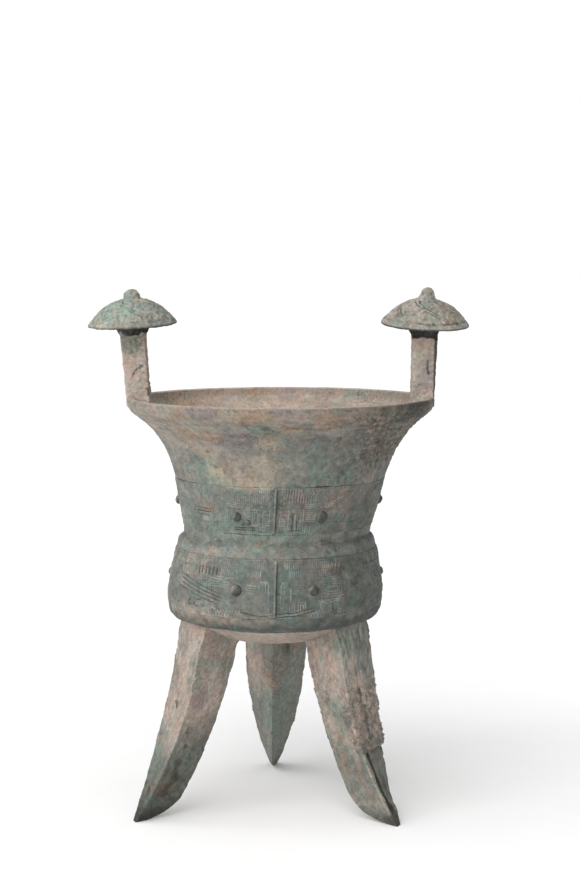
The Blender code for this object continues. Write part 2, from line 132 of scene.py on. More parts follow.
def add(material, kind, settings=(), links=()):
    """Adds a node, sets its properties and inputs, and links other nodes' outputs to its inputs."""
    node = material.node_tree.nodes.new(kind)
    for key, value in dict(settings).items():
        if isinstance(key, str) and hasattr(node, key):
            setattr(node, key, value)
        else:
            node.inputs[key].default_value = value
    for key, (source, output) in dict(links).items():
        material.node_tree.links.new(source.outputs[output], node.inputs[key])
    return node


def per(millimetres):
    """A texture scale that gives features of about this size."""
    return 1000 / millimetres


print("linear value of the sRGB grey #808080:", round(colour("#808080")[0], 3))

# %% [markdown]
# The floor is matt white card.

# %% Floor material
card = bpy.data.materials.new("matt white card")
card.use_nodes = True
shader = card.node_tree.nodes["Principled BSDF"]
shader.inputs["Roughness"].default_value = 0.9
coords = add(card, "ShaderNodeTexCoord")
fibres = add(card, "ShaderNodeTexNoise", {"Scale": per(40), "Detail": 3}, {"Vector": (coords, "Object")})
tone = add(card, "ShaderNodeMix", {"data_type": "RGBA", 6: colour("#fafafa"), 7: colour("#ffffff")},
           {0: (fibres, "Fac")})
card.node_tree.links.new(tone.outputs[2], shader.inputs["Base Color"])
floor.data.materials.append(card)
print("material of the floor:", card.name)

# %% [markdown]
# Patina is a stack of thin layers. Over the brown metal lies a grey-green skin, over that an earthy pink and buff
# crust from the soil, and in places malachite (green), cuprite (rust red), and dark or pale stains. Each layer's
# share at a point is stored on the mesh, and noise of the right grain frays its border. So a stain can be put in
# one place, and still looks grown. The real grains are a tenth of a millimetre to some centimetres wide. The finest
# ones would not show in the image, so grain and pits are drawn as coarse as they need to show.

# %% Layers of the patina
BLOTCHES, CLOUDS, DRIFT, GRAIN, PITS = 38, 12, 9, 2.2, 1.4


def layer(material, below, share, noise_part, tint, other, tone_mix, strength=0.8):
    """Lays one tinted layer over the colour below, where its share and the noise are high enough."""
    scaled = add(material, "ShaderNodeMath", {"operation": "MULTIPLY_ADD", 1: 2.2}, {0: noise_part, 2: share})
    cover = add(material, "ShaderNodeMapRange", {"interpolation_type": "SMOOTHSTEP", 1: 1.25, 2: 2.1, 4: strength},
                {0: (scaled, 0)})
    tinted = add(material, "ShaderNodeMix", {"data_type": "RGBA", 6: colour(tint), 7: colour(other)}, {0: tone_mix})
    return add(material, "ShaderNodeMix", {"data_type": "RGBA"}, {0: (cover, 0), 6: below, 7: (tinted, 2)})


print("texture scales of the patina:", [round(per(size)) for size in (BLOTCHES, CLOUDS, DRIFT, GRAIN, PITS)])

# %% [markdown]
# The patina's colour is the skin under its layers, tinged warm and cool by slow drift. It is darkened in pits, and
# darkened or lightened by a height stored on the mesh: hollows are darker with dirt and painted shade, worn tops are
# pale, and the same height also carries painted shade and painted highlights laid on other places.

# %% Patina material
def patina(name, skin, crust, grain_height, pit_shade):
    """A corroded bronze: skin is its ramp of colours, crust the two tints of the earthy layer."""
    material = bpy.data.materials.new(name)
    material.use_nodes = True
    shader = material.node_tree.nodes["Principled BSDF"]
    shader.inputs["Metallic"].default_value = 0.1
    coords = add(material, "ShaderNodeTexCoord")
    place = {"Vector": (coords, "Object")}
    broad = add(material, "ShaderNodeTexNoise", {"Scale": per(BLOTCHES), "Detail": 7, "Roughness": 0.68}, place)
    clouds = add(material, "ShaderNodeTexNoise",
                 {"Scale": per(CLOUDS), "Detail": 7, "Roughness": 0.72, "Distortion": 0.3}, place)
    grain = add(material, "ShaderNodeTexNoise", {"Scale": per(GRAIN), "Detail": 5, "Roughness": 0.72}, place)
    first = add(material, "ShaderNodeSeparateColor", (), {0: (clouds, "Color")})
    second = add(material, "ShaderNodeSeparateColor", (), {0: (broad, "Color")})
    fine = add(material, "ShaderNodeSeparateColor", (), {0: (grain, "Color")})

    mottle = add(material, "ShaderNodeMix", {"data_type": "FLOAT", 0: 0.4}, {2: (first, "Red"), 3: (second, "Red")})
    ramp = add(material, "ShaderNodeValToRGB", (), {0: (mottle, 0)})
    stops = ramp.color_ramp.elements
    stops[0].position, stops[1].position = 0.34, 0.66
    stops[0].color, stops[1].color = colour(skin[0]), colour(skin[3])
    for position, code in ((0.45, skin[1]), (0.55, skin[2])):
        stops.new(position).color = colour(code)

    stain_one = add(material, "ShaderNodeAttribute", {"attribute_name": "stain_one"})
    stain_two = add(material, "ShaderNodeAttribute", {"attribute_name": "stain_two"})
    one = add(material, "ShaderNodeSeparateColor", (), {0: (stain_one, "Color")})
    two = add(material, "ShaderNodeSeparateColor", (), {0: (stain_two, "Color")})
    top = layer(material, (ramp, 0), (one, "Red"), (first, "Green"), crust[0], crust[1], (second, "Green"))
    for share, noise_part, tint, other, tone_mix, strength in (
            ((one, "Green"), (first, "Blue"), "#64766c", "#808e86", (fine, "Red"), 0.65),
            ((one, "Blue"), (fine, "Green"), "#8b684f", "#a08666", (first, "Red"), 0.5),
            ((two, "Red"), (first, "Blue"), "#a39b88", "#ada492", (fine, "Blue"), 0.6),
            ((two, "Green"), (first, "Green"), "#6f6568", "#8a7c7e", (second, "Red"), 0.65),
            ((two, "Blue"), (first, "Blue"), "#34352f", "#4a4b45", (fine, "Red"), 0.85)):
        top = layer(material, (top, 2), share, noise_part, tint, other, tone_mix, strength)

    drift = add(material, "ShaderNodeTexNoise", {"Scale": per(DRIFT), "Detail": 3, "Roughness": 0.55}, place)
    warmth = add(material, "ShaderNodeMapRange", {"interpolation_type": "SMOOTHSTEP", 1: 0.36, 2: 0.64},
                 {0: (drift, "Fac")})
    cast = add(material, "ShaderNodeMix", {"data_type": "RGBA", 6: colour("#fff5ef"), 7: colour("#eff8f6")},
               {0: (warmth, 0)})
    tinged = add(material, "ShaderNodeMix", {"data_type": "RGBA", "blend_type": "MULTIPLY", 0: 1.0},
                 {6: (top, 2), 7: (cast, 2)})
    speckle = add(material, "ShaderNodeMapRange", {1: 0.3, 2: 0.7, 3: 0.72, 4: 1.32}, {0: (grain, "Fac")})
    pits = add(material, "ShaderNodeTexNoise", {"Scale": per(PITS), "Detail": 3, "Roughness": 0.6}, place)
    often = add(material, "ShaderNodeMath", {"operation": "MULTIPLY_ADD", 1: 1.1, 2: -0.55}, {0: (second, "Blue")})
    spared = add(material, "ShaderNodeMath", {"operation": "ADD"}, {0: (pits, "Fac"), 1: (often, 0)})
    pitted = add(material, "ShaderNodeMapRange", {"interpolation_type": "SMOOTHSTEP", 1: 0.28, 2: 0.44, 3: pit_shade,
                                                  4: 1.0}, {0: (spared, 0)})
    # The height attribute holds the relief's dirt and wear, and painted shade and highlights.
    worn = add(material, "ShaderNodeAttribute", {"attribute_name": "height"})
    depth = add(material, "ShaderNodeMapRange", {1: 0.0, 2: 1.0, 3: 0.32, 4: 1.68}, {0: (worn, "Fac")})
    mottled = add(material, "ShaderNodeMath", {"operation": "MULTIPLY"}, {0: (speckle, 0), 1: (pitted, 0)})
    shade = add(material, "ShaderNodeMath", {"operation": "MULTIPLY"}, {0: (mottled, 0), 1: (depth, 0)})
    lit = add(material, "ShaderNodeVectorMath", {"operation": "SCALE"}, {0: (tinged, 2), "Scale": (shade, 0)})
    material.node_tree.links.new(lit.outputs[0], shader.inputs["Base Color"])
    gloss = add(material, "ShaderNodeMapRange", {1: 0.3, 2: 0.7, 3: 0.55, 4: 0.85}, {0: (fine, "Blue")})
    material.node_tree.links.new(gloss.outputs[0], shader.inputs["Roughness"])
    rough = add(material, "ShaderNodeMix", {"data_type": "FLOAT", 0: 0.35}, {2: (grain, "Fac"), 3: (pits, 0)})
    bump = add(material, "ShaderNodeBump", {"Strength": 1.0, "Distance": grain_height}, {"Height": (rough, 0)})
    material.node_tree.links.new(bump.outputs[0], shader.inputs["Normal"])
    return material


grey_green = patina("grey-green patina on cast bronze", ("#5a605a", "#707671", "#7d7f7a", "#918c84"),
                    ("#a89a8f", "#8f837a"), 0.0012, 0.62)
earthy = patina("earthy crust on cast bronze", ("#626661", "#777a75", "#86827b", "#9a918a"),
                ("#cab9b0", "#a6988d"), 0.0015, 0.72)
print("materials:", [grey_green.name, earthy.name])

# %% [markdown]
# Stains that the eye catches are listed one by one: a layer, a place in millimetres, and how far it spreads sideways
# and upwards. Layers are crust, green, rust, cream, violet and dark.

# %% Placed stains
STAINS = {
    "crust": [(-59, -74, 252, 16, 10), (-50, -39, 160, 8, 6), (-39, -49, 168, 5, 3), (36, -54, 203, 5, 5),
              (39, -51, 197, 5, 4), (54, -39, 208, 6, 4), (-31, -59, 127, 18, 3), (-58, -36, 128, 12, 6),
              (0, -93, 252, 50, 5), (-46, -62, 237, 9, 6), (-18, -65, 218, 8, 6), (33, -53, 160, 3, 2),
              (-64, -45, 240, 12, 10), (-95, -7, 280, 14, 16), (88, -7, 275, 14, 18), (-57, -42, 84, 10, 22),
              (-47, -37, 77, 8, 9), (34, -44, 92, 12, 22), (55, -42, 66, 14, 18), (-15, 55, 80, 8, 16),
              (-12, 42, 68, 4, 5), (-78, -36, 251, 10, 8), (-86, -20, 253, 8, 8)],
    "green": [(-6, -87, 246, 7, 4), (24, -66, 224, 6, 11), (16, -73, 232, 5, 4), (39, -56, 216, 8, 5),
              (-31, -53, 184, 10, 5), (-11, -57, 175, 7, 3), (-46, -52, 218, 11, 6), (5, -65, 151, 3, 12),
              (10, -60, 180, 12, 3), (-99, -13, 315, 9, 5), (-101, -20, 308, 8, 4), (-92, -7, 291, 5, 6),
              (-90, -7, 294, 5, 4), (-74, -28, 44, 4, 14), (-76, -36, 30, 6, 6), (-81, -43, 11, 6, 6),
              (38, -43, 66, 6, 5), (36, -42, 67, 6, 5), (-12, 50, 88, 6, 5), (31, -33, 72, 3, 3), (34, -46, 111, 6, 6),
              (41, -43, 112, 5, 5), (40, -42, 60, 3, 5), (41, -39, 45, 5, 8), (76, -19, 309, 4, 3),
              (95, -22, 308, 4, 2), (4, 55, 45, 9, 20), (-11, 57, 50, 8, 8), (-47, -40, 96, 6, 9),
              (-66, 55, 254, 6, 2),
              (47, 74, 254, 6, 3), (28, 80, 252, 5, 3)],
    "rust": [(-59, -74, 254, 4, 2.5), (-55, -77, 250, 3, 2.5), (-41, -47, 195.5, 3, 3), (-20, -93, 253, 7, 3.5),
             (-5, -95, 254, 5, 3), (8, -87, 246, 5, 2), (30, -81, 246, 4, 1.4),
             (28, -88, 252, 6, 3), (-4, -78, 239, 4, 2.5), (-55, -60, 240, 6, 5), (-38, -70, 240, 5, 4),
             (-60, -42, 31, 3, 5), (-72, -40, 20, 4, 3), (-62, -40, 52, 2, 8),
             (-33, -60, 222, 4, 3), (-14, -66, 216, 2, 2), (-12, -57, 174, 1.6, 1.6), (24, -59, 195, 2, 1),
             (34, -54, 196, 2, 1), (8, 47, 93, 8, 4), (-9, 41, 69, 4, 4), (-9, 41, 70, 3, 3), (-64, 58, 250, 6, 3),
             (-16, 86, 255, 8, 3), (106, -14, 307, 6, 3), (41, -38, 38, 3, 6), (38, -39, 53, 4, 4),
             (-69, -41, 20, 4, 4), (51, -46, 33, 3, 4)],
    "cream": [(-42, -59, 228, 3, 3), (-41, -57, 224, 3, 5), (-38, -56, 219, 3, 5), (-34, -57, 214, 4, 3),
              (-26, -60, 210.5, 6, 2.5), (-18, -63, 209.5, 6, 2), (-10, -65, 210, 6, 2.5), (-8, -70, 222, 6, 7),
              (-6, -77, 237, 5, 3), (-6, 41, 65, 5, 3), (-106, -15, 303, 12, 2), (88, -7, 284, 5, 4),
              (88, -7, 266, 5, 5), (-66, -41, 23, 3, 4),
              # The first cream mark in the next line is a painted highlight, a glint on the left eye of the lower front
              # mask.
              (-25.6, -65.4, 148.8, 0.9, 0.9), (60, -53, 11, 4, 5), (-68, -36, 60, 3, 14)],
    "violet": [(-49, -81, 255, 6, 3), (-40, -86, 255, 5, 3), (-20, -77, 239, 8, 5), (-27, -73, 236, 5, 4),
               (22, -76, 238, 7, 5), (2, -95, 256, 6, 2), (-99, -7, 289, 4, 12), (-48, -38, 76, 6, 8),
               (92, -7, 272, 4, 6), (13, -59, 202, 5, 4)],
    "dark": [(85, -45, 255, 10, 4), (-42, -59, 230, 1.5, 1), (-37, -57, 221.5, 1.5, 1.5), (-31, -59, 218, 1.5, 1),
             (-6, -87, 246, 3, 2), (-55, -42, 55, 2, 2), (-62, -40, 36, 3, 3), (-64, -40, 27, 3, 3),
             (-70, -41, 17, 3, 3), (-57, -40, 46, 2, 2), (-73, -36, 27, 2, 3), (-79, -40, 18, 2, 3),
             (-67, -42, 21, 2, 2), (70, -50, 3, 5, 3), (4, 44, 92, 7, 6), (39, -48, 158, 1.5, 1), (63, -40, 16, 3, 9)],
}
print("placed stains:", sum(len(group) for group in STAINS.values()))

# %% [markdown]
# The sizes are those of the solid. The bowl's outside is a row of simple curves: a flare that turns outward late, a
# short round shoulder, a belly that narrows upwards, and a round turn into the base.

# %% Sizes and curves of the bowl
LEG_HEIGHT, CREASE_RADIUS, BASE_DEPTH, UNDER_HEIGHT = 0.1217, 0.0599, 0.0171, 0.0083
BELLY_RADIUS, BELLY_HEIGHT, SHOULDER_RADIUS, SHOULDER_HEIGHT = 0.0670, 0.1372, 0.0617, 0.1676
NECK_RADIUS, NECK_HEIGHT, FLARE_SLOPE, FLARE_CURL = 0.0577, 0.1733, 0.0163, 5.4
LIP_HEIGHT, RIM_HEIGHT, RIM_RADIUS, LIP_WIDTH, WALL = 0.2514, 0.2585, 0.0955, 0.0046, 0.0030
LEAN, BOW, SHIFT = 0.026, 0.0013, 0.00093
BASE_CURVE = (CREASE_RADIUS ** 2 + BASE_DEPTH ** 2) / (2 * BASE_DEPTH)
UPPER_BAND, LOWER_BAND = (0.1797, 0.2092), (0.1303, 0.1658)


def plain_radius(height):
    """Radius of the bowl's plain outside at each height."""
    height = np.asarray(height, float)
    flare = np.clip((height - NECK_HEIGHT) / (LIP_HEIGHT - NECK_HEIGHT), 0, 1)
    neck = np.clip((height - SHOULDER_HEIGHT) / (NECK_HEIGHT - SHOULDER_HEIGHT), 0, 1)
    belly = np.clip((height - BELLY_HEIGHT) / (SHOULDER_HEIGHT - BELLY_HEIGHT), 0, 1)
    under = np.clip((LEG_HEIGHT + UNDER_HEIGHT - height) / UNDER_HEIGHT, 0, 1)
    curl = RIM_RADIUS - NECK_RADIUS - FLARE_SLOPE
    return np.select(
        [height >= LIP_HEIGHT, height >= NECK_HEIGHT, height >= SHOULDER_HEIGHT, height >= BELLY_HEIGHT],
        [RIM_RADIUS, NECK_RADIUS + FLARE_SLOPE * flare + curl * flare ** FLARE_CURL,
         NECK_RADIUS + (SHOULDER_RADIUS - NECK_RADIUS) * np.sqrt(1 - neck ** 2),
         BELLY_RADIUS - (BELLY_RADIUS - SHOULDER_RADIUS) * belly ** 1.5],
        CREASE_RADIUS + (BELLY_RADIUS - CREASE_RADIUS) * np.sqrt(1 - under ** 2))


def base_height(radius):
    """Height of the round base at each distance from the axis."""
    bulge = BASE_CURVE - np.sqrt(BASE_CURVE ** 2 - np.minimum(radius, CREASE_RADIUS) ** 2)
    return LEG_HEIGHT - BASE_DEPTH + bulge


def spaced(points, step):
    """The same curve with its points a step apart."""
    points = np.asarray(points, float)
    along = np.r_[0, np.cumsum(np.hypot(*np.diff(points, axis=0).T))]
    places = np.linspace(0, along[-1], max(2, int(round(along[-1] / step)) + 1))
    return np.c_[np.interp(places, along, points[:, 0]), np.interp(places, along, points[:, 1])]


def side(high, low):
    """The bowl's outside between two heights, as a fine curve."""
    heights = np.linspace(high, low, 400)
    return np.c_[plain_radius(heights), heights]


def softened(points, passes):
    """The same curve with its corners averaged away; its ends stay."""
    for _ in range(passes):
        points[1:-1] = (points[:-2] + 2 * points[1:-1] + points[2:]) / 4
    return points


print("belly and rim diameters in mm:", round(2000 * BELLY_RADIUS), round(2000 * RIM_RADIUS))

# %% [markdown]
# Helpers for modelling as by hand. An operator works on all that is selected, so one piece is selected at a time.
# A half section is drawn by merging a plane to one vertex and extruding it from point to point. The Screw modifier
# then sweeps it round the axis, as clay turns under a potter's rib.

# %% Modelling helpers
def alone(piece):
    """Makes a piece the only selected one."""
    bpy.ops.object.select_all(action="DESELECT")
    piece.select_set(True)
    bpy.context.view_layer.objects.active = piece


def drawn(name, points):
    """A chain of edges through points of a radius and a height, drawn in the plane of X and Z."""
    bpy.ops.object.select_all(action="DESELECT")
    bpy.ops.mesh.primitive_plane_add(size=0.001)
    piece = bpy.context.object
    piece.name = piece.data.name = name
    bpy.ops.object.mode_set(mode="EDIT")
    bpy.ops.mesh.merge(type="CENTER")
    bpy.ops.transform.translate(value=(points[0][0], 0, points[0][1]))
    for before, after in zip(points, points[1:]):
        move = (after[0] - before[0], 0, after[1] - before[1])
        bpy.ops.mesh.extrude_region_move(TRANSFORM_OT_translate={"value": move})
    return piece


def screwed(piece, steps, angle, rise):
    """Sweeps a drawn line: round the Z axis by an angle, or straight up by a rise."""
    bpy.ops.object.mode_set(mode="OBJECT")
    bpy.ops.object.modifier_add(type="SCREW")
    screw = piece.modifiers[-1]
    screw.axis, screw.angle, screw.screw_offset = "Z", angle, rise
    screw.steps = screw.render_steps = steps
    screw.use_merge_vertices, screw.merge_threshold = angle > 0, 0.00001
    bpy.ops.object.modifier_apply(modifier=screw.name)


def closed():
    """Merges what lies together in the active piece, fills its holes and turns all faces outwards."""
    bpy.ops.object.mode_set(mode="EDIT")
    bpy.ops.mesh.select_all(action="SELECT")
    bpy.ops.mesh.remove_doubles(threshold=0.00001)
    bpy.ops.mesh.fill_holes(sides=0)
    bpy.ops.mesh.select_all(action="SELECT")
    bpy.ops.mesh.normals_make_consistent(inside=False)
    bpy.ops.object.mode_set(mode="OBJECT")


def turned(name, points, columns):
    """A solid turned about the Z axis from a drawn half section."""
    piece = drawn(name, points)
    screwed(piece, columns, 2 * math.pi, 0)
    closed()
    return piece


# %% [markdown]
# Corrosion is too irregular to be modelled by hand. The vertices are moved in code instead: out and in along the
# direction in which the surface faces, by noise of the right size. These helpers read and move them.

# %% Moving vertices
def places(piece):
    """The places of a piece's vertices, as an array."""
    flat = np.empty(len(piece.data.vertices) * 3, np.float32)
    piece.data.vertices.foreach_get("co", flat)
    return flat.reshape(-1, 3).astype(float)


def put(piece, where):
    """Moves a piece's vertices to new places."""
    piece.data.vertices.foreach_set("co", np.asarray(where, np.float32).ravel())
    piece.data.update()


def directions(piece):
    """The directions in which a piece's surface faces at its vertices."""
    flat = np.empty(len(piece.data.vertices) * 3, np.float32)
    piece.data.vertex_normals.foreach_get("vector", flat)
    return flat.reshape(-1, 3).astype(float)


def swelled(piece, amounts):
    """Moves the surface outwards by an amount in metres at each vertex."""
    put(piece, places(piece) + directions(piece) * amounts[:, None])


def smooth(value, start, end):
    """Goes gently from 0 at start to 1 at end."""
    share = np.clip((value - start) / (end - start), 0, 1)
    return share * share * (3 - 2 * share)


def faded(value, start, end):
    """Goes gently from 1 at start to 0 at end."""
    return 1 - smooth(value, start, end)


print("smooth from 0 to 1 in quarters:", smooth(np.arange(5) / 4, 0, 1).round(2))

# %% [markdown]
# Lumps are fractal noise, knobs are the cells of a Voronoi pattern, and cracks follow drawn lines. The noise is read
# at a place that the seed shifts, so each run gives the same result.

# %% Lumps, knobs and cracks
def lumps(where, size, seed, octaves=3):
    """Smooth noise at each place, about -1 to 1, with lumps of a size in metres."""
    offset = Vector((seed * 7.3, seed * 3.1, seed * 5.7))
    return np.array([noise.fractal(Vector(spot) / size + offset, 1.0, 2.0, octaves) for spot in where])


def knobs(where, size, seed):
    """Round knobs of a size in metres with cracks between them: 1 on the knobs, and 0 in the cracks."""
    offset = Vector((seed * 4.1, seed * 2.3, seed * 6.7))
    near = np.array([noise.voronoi(Vector(spot) / size + offset)[0][:2] for spot in where])
    return smooth(near[:, 1] - near[:, 0], 0.0, 0.45)


def cracked(piece, lines, half_width, depth):
    """Cuts cracks along lines of points in millimetres, and returns 1 in them and 0 beside them."""
    where = places(piece)
    away = np.full(len(where), 1.0)
    for line in lines:
        points = np.array(line) / 1000
        for start, end in zip(points, points[1:]):
            run = end - start
            share = np.clip((where - start) @ run / (run @ run), 0, 1)
            away = np.minimum(away, np.linalg.norm(where - start - share[:, None] * run, axis=1))
    wander = 1 + 0.5 * lumps(where, 0.002, 90, 2)
    crack = faded(away / wander, half_width * 0.5, half_width * 1.8)
    swelled(piece, -crack * depth)
    return crack


def leaned(piece):
    """The casting leans a little: every height is shifted sideways by its own amount."""
    where = places(piece)
    bowed = np.clip((where[:, 2] - NECK_HEIGHT) / (RIM_HEIGHT - NECK_HEIGHT), 0, 1)
    where[:, 0] += LEAN * (where[:, 2] - RIM_HEIGHT) + BOW * np.sin(np.pi * bowed) + SHIFT
    put(piece, where)


def corroded(piece, size, amount, seed, share=1.0):
    """Moves the surface in and out by noise: lumps of a size, by an amount, both in metres."""
    move = lumps(places(piece), size, seed) * share
    swelled(piece, move * amount)
    return move


print("lumps at two spots a centimetre apart:", lumps([(0, 0, 0.10), (0, 0, 0.11)], 0.01, 1).round(3))

# %% [markdown]
# Every piece is finished in the same way. The layers' shares and a height, which holds the relief's brightness and
# painted shade and highlights, are stored at its vertices, it is kept inside the solid's box, and it is tied to the
# frame. Corners over 40 degrees stay sharp in the shading.

# %% Finishing a piece
SHARP_ANGLE, BOX_GAP = math.radians(40), 2e-5


def finished(piece, material, base, height=0.56):
    """Stores the stains and the height with its painted shade and highlights, shades the piece and ties it to the
    frame.
    """
    where = places(piece)
    count = len(where)
    shares = {key: np.zeros(count) + base.get(key, 0.0) for key in STAINS}
    for key, group in STAINS.items():
        for x, y, z, wide, tall in group:
            away = (((where[:, 0] - x / 1000) ** 2 + (where[:, 1] - y / 1000) ** 2) / (wide / 1000) ** 2
                    + ((where[:, 2] - z / 1000) / (tall / 1000)) ** 2)
            shares[key] += 0.8 * np.exp(-away * 0.5)
    for attribute, keys in (("stain_one", ("crust", "green", "rust")), ("stain_two", ("cream", "violet", "dark"))):
        layer_data = piece.data.attributes.new(attribute, "FLOAT_COLOR", "POINT")
        values = np.ones((count, 4), np.float32)
        for channel, key in enumerate(keys):
            values[:, channel] = np.clip(shares[key], 0, 1.5)
        layer_data.data.foreach_set("color", values.ravel())
    relief = piece.data.attributes.new("height", "FLOAT", "POINT")
    relief.data.foreach_set("value", np.clip(np.zeros(count) + height, 0, 1).astype(np.float32))
    put(piece, np.clip(where, np.array(low_corner) + BOX_GAP, np.array(high_corner) - BOX_GAP))
    piece.data.materials.append(material)
    alone(piece)
    bpy.ops.object.shade_smooth_by_angle(angle=SHARP_ANGLE)
    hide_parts("jia")
    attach(piece, "root")
    triangles = sum(len(face.vertices) - 2 for face in piece.data.polygons)
    print(piece.name, "triangles:", triangles)
    return piece


# %% [markdown]
# The bowl is turned like a pot on a wheel: its half section runs from the middle of the inside, up the lining, over
# the lip and down the outside to the middle of the base. Where the ornament bands lie over it, few rings are enough,
# and the wall steps back a millimetre, or it would fill the bottoms of their cuts.

# %% Section of the bowl
RING_STEP, HIDDEN_STEP, STEP_BACK, BAND_GAP = 0.0010, 0.005, 0.0010, 0.0004


def bowl_section():
    """Half section of the hollow bowl."""
    flare = np.vstack([[(RIM_RADIUS, RIM_HEIGHT - 0.0032)], side(LIP_HEIGHT, UPPER_BAND[1])])
    behind_upper, behind_lower = [spaced(side(top - BAND_GAP, foot + BAND_GAP), HIDDEN_STEP) - (STEP_BACK, 0)
                                  for foot, top in (UPPER_BAND, LOWER_BAND)]
    outside = [softened(spaced(flare, RING_STEP), 22), behind_upper,
               spaced(side(UPPER_BAND[0], LOWER_BAND[1]), RING_STEP), behind_lower,
               spaced(side(LOWER_BAND[0], LEG_HEIGHT), RING_STEP)]
    radii = np.linspace(CREASE_RADIUS, 0, 50)[1:]
    base = np.c_[radii, base_height(radii)]
    shell = spaced(np.vstack([side(LIP_HEIGHT, LEG_HEIGHT), base]), RING_STEP)
    run = np.gradient(shell, axis=0)
    run /= np.hypot(run[:, 0], run[:, 1])[:, None]
    lining = shell + np.c_[run[:, 1], -run[:, 0]] * WALL
    lining = lining[(lining[:, 1] < LIP_HEIGHT - 0.0012) & (lining[:, 0] > 0.003)][::3]
    top_inside = RIM_RADIUS - LIP_WIDTH
    lip = [(top_inside - 0.0006, LIP_HEIGHT + 0.0012), (top_inside, LIP_HEIGHT + 0.0032),
           (top_inside + 0.0003, RIM_HEIGHT - 0.0008), (top_inside + 0.0012, RIM_HEIGHT - 0.0001),
           ((RIM_RADIUS + top_inside) / 2, RIM_HEIGHT), (RIM_RADIUS - 0.0011, RIM_HEIGHT - 0.0001),
           (RIM_RADIUS - 0.0002, RIM_HEIGHT - 0.0009), (RIM_RADIUS, RIM_HEIGHT - 0.0020)]
    start = np.array([[0, LEG_HEIGHT - BASE_DEPTH + WALL]])
    return np.vstack([start, lining[::-1], lip] + outside + [base])


print("points in the bowl's half section:", len(bowl_section()))

# %% [markdown]
# The wall is worn by two sizes of lumps, with level folds under the lip and a few single grains at the outline. A
# crust has grown on the right of the flare. The right side is also darker than the left, with painted shade, as the
# lamps leave it in the shade, and the right of the flare is browner; this shade is painted into the colours, so that
# the piece looks the same in other light.

# %% Worn bowl
def painted_shade_amount(where):
    """How much painted shade the vessel's skin has at each place: 0 at the left, 1 at the right, and less at the back.
    """
    return smooth(where[:, 0], -0.02, 0.055) * (1 - 0.6 * smooth(where[:, 1], -0.01, 0.03))


GRAINS, GRAIN_RISE = ((84, -4, 249.5, 1.5), (77.5, -3, 243, 1.7), (64.5, -4, 217.5, 1.4), (-63, -6, 222, 1.2)), 0.0011
bowl = turned("bowl", bowl_section(), 380)
where = places(bowl)
height = where[:, 2]
inside = np.hypot(where[:, 0], where[:, 1]) < plain_radius(height) - WALL / 2
calm = 1 - smooth(height, 0.250, 0.256) * 0.75
corroded(bowl, 0.016, 0.0005, 1, calm)
fine = corroded(bowl, 0.0042, 0.0003, 2, calm)
folds = lumps(where * (0.1, 0.1, 1.0), 0.0016, 4, 2) * smooth(height, 0.236, 0.243) * calm
swelled(bowl, folds * 0.00022)
for x, y, z, wide in GRAINS:
    near = np.linalg.norm(places(bowl) * 1000 - (x, y, z), axis=1) / wide
    swelled(bowl, GRAIN_RISE * np.exp(-near ** 2))
right = smooth(where[:, 0], 0.030, 0.060) * smooth(height, 0.200, 0.230) * ~inside * faded(where[:, 1], -0.005, 0.035)
grown = (knobs(where, 0.0034, 7) - 0.5) * right * calm
swelled(bowl, grown * 0.0008)
leaned(bowl)
print("bowl vertices:", len(where), "of which inside:", int(inside.sum()))

# %% [markdown]
# The colours of the bowl follow the same places: a broken dark line and a painted highlight on the top of the lip's
# edge, a greener shoulder, an underside that is also darker with painted shade, and a lining with more crust, which
# is lightened with painted light, most at the left.

# %% Colours of the bowl
edge_line = faded(np.abs(height - RIM_HEIGHT + 0.0016), 0.0004, 0.0009) * ~inside * (height > 0.25)
# A painted highlight: the top of the lip is made pale and light.
rim_highlight = smooth(height, RIM_HEIGHT - 0.0007, RIM_HEIGHT - 0.0002)
ragged = smooth(lumps(where * (1, 1, 3), 0.0018, 6, 2), -0.1, 0.4)
# Painted shade: the right side is darker, less at the back; there the crust is also thinner and the flare browner.
painted_right_shade = painted_shade_amount(where) * ~inside
# The underside: greener with less crust, and darker with painted shade.
under = faded(height, 0.124, 0.134) * ~inside
brown = painted_right_shade * smooth(height, 0.205, 0.228)
shoulder = smooth(height, 0.1655, 0.168) * faded(height, 0.178, 0.181) * ~inside
# The lining is lighter, partly by its pale crust and partly by painted light, which is strongest at the left.
lining = np.where(inside, 0.43 - 0.31 * smooth(where[:, 0], -0.05, 0.05), 0)
finished(bowl, grey_green,
         {"crust": np.where(inside, 1.2, 0.38 - 0.5 * under - 0.12 * painted_right_shade - 0.16 * shoulder),
          "green": np.where(inside, 0.08, 0.22 + 0.15 * under + 0.14 * shoulder - 0.2 * brown),
          "rust": np.where(inside, 0.3, 0.12 + 0.3 * right + 0.15 * brown),
          "cream": 0.1 + 0.6 * rim_highlight, "violet": np.where(inside, 0.38, 0.12), "dark": 0.5 * right},
         0.53 + 0.22 * fine + 0.25 * folds + 0.5 * grown + lining + 0.2 * rim_highlight - 0.3 * edge_line * ragged
         - 0.19 * painted_right_shade - 0.38 * under)

# %% [markdown]
# Each ornament band is a ring sunk in the wall. Its outer face is a fine grid, and the masks' raised threads are
# pressed into it: a thread's height at a point follows from the distance to the nearest line of a drawing. Half a
# mask is drawn once, in millimetres from its flange and from the band's foot, and mirrored and repeated in code,
# because six half masks make a band. The real threads are closer than these, which the image could not show.

# %% Strokes of the masks
THREAD_WIDTH, THREAD_PITCH = 0.26, 1.35


def lines_through(points, width=THREAD_WIDTH, lift=1.0):
    """Straight strokes through points, as start, end, half width and height."""
    return [(*before, *after, width, lift) for before, after in zip(points, points[1:])]


def quills(start, end, foot, top, pitch=THREAD_PITCH, slant=0.0):
    """A row of upright strokes between two places, from a foot to a top."""
    strokes = []
    for place in np.arange(start, end, pitch):
        strokes += lines_through([(place, foot), (place + slant * 0.3, (foot + top) / 2), (place + slant, top)])
    return strokes


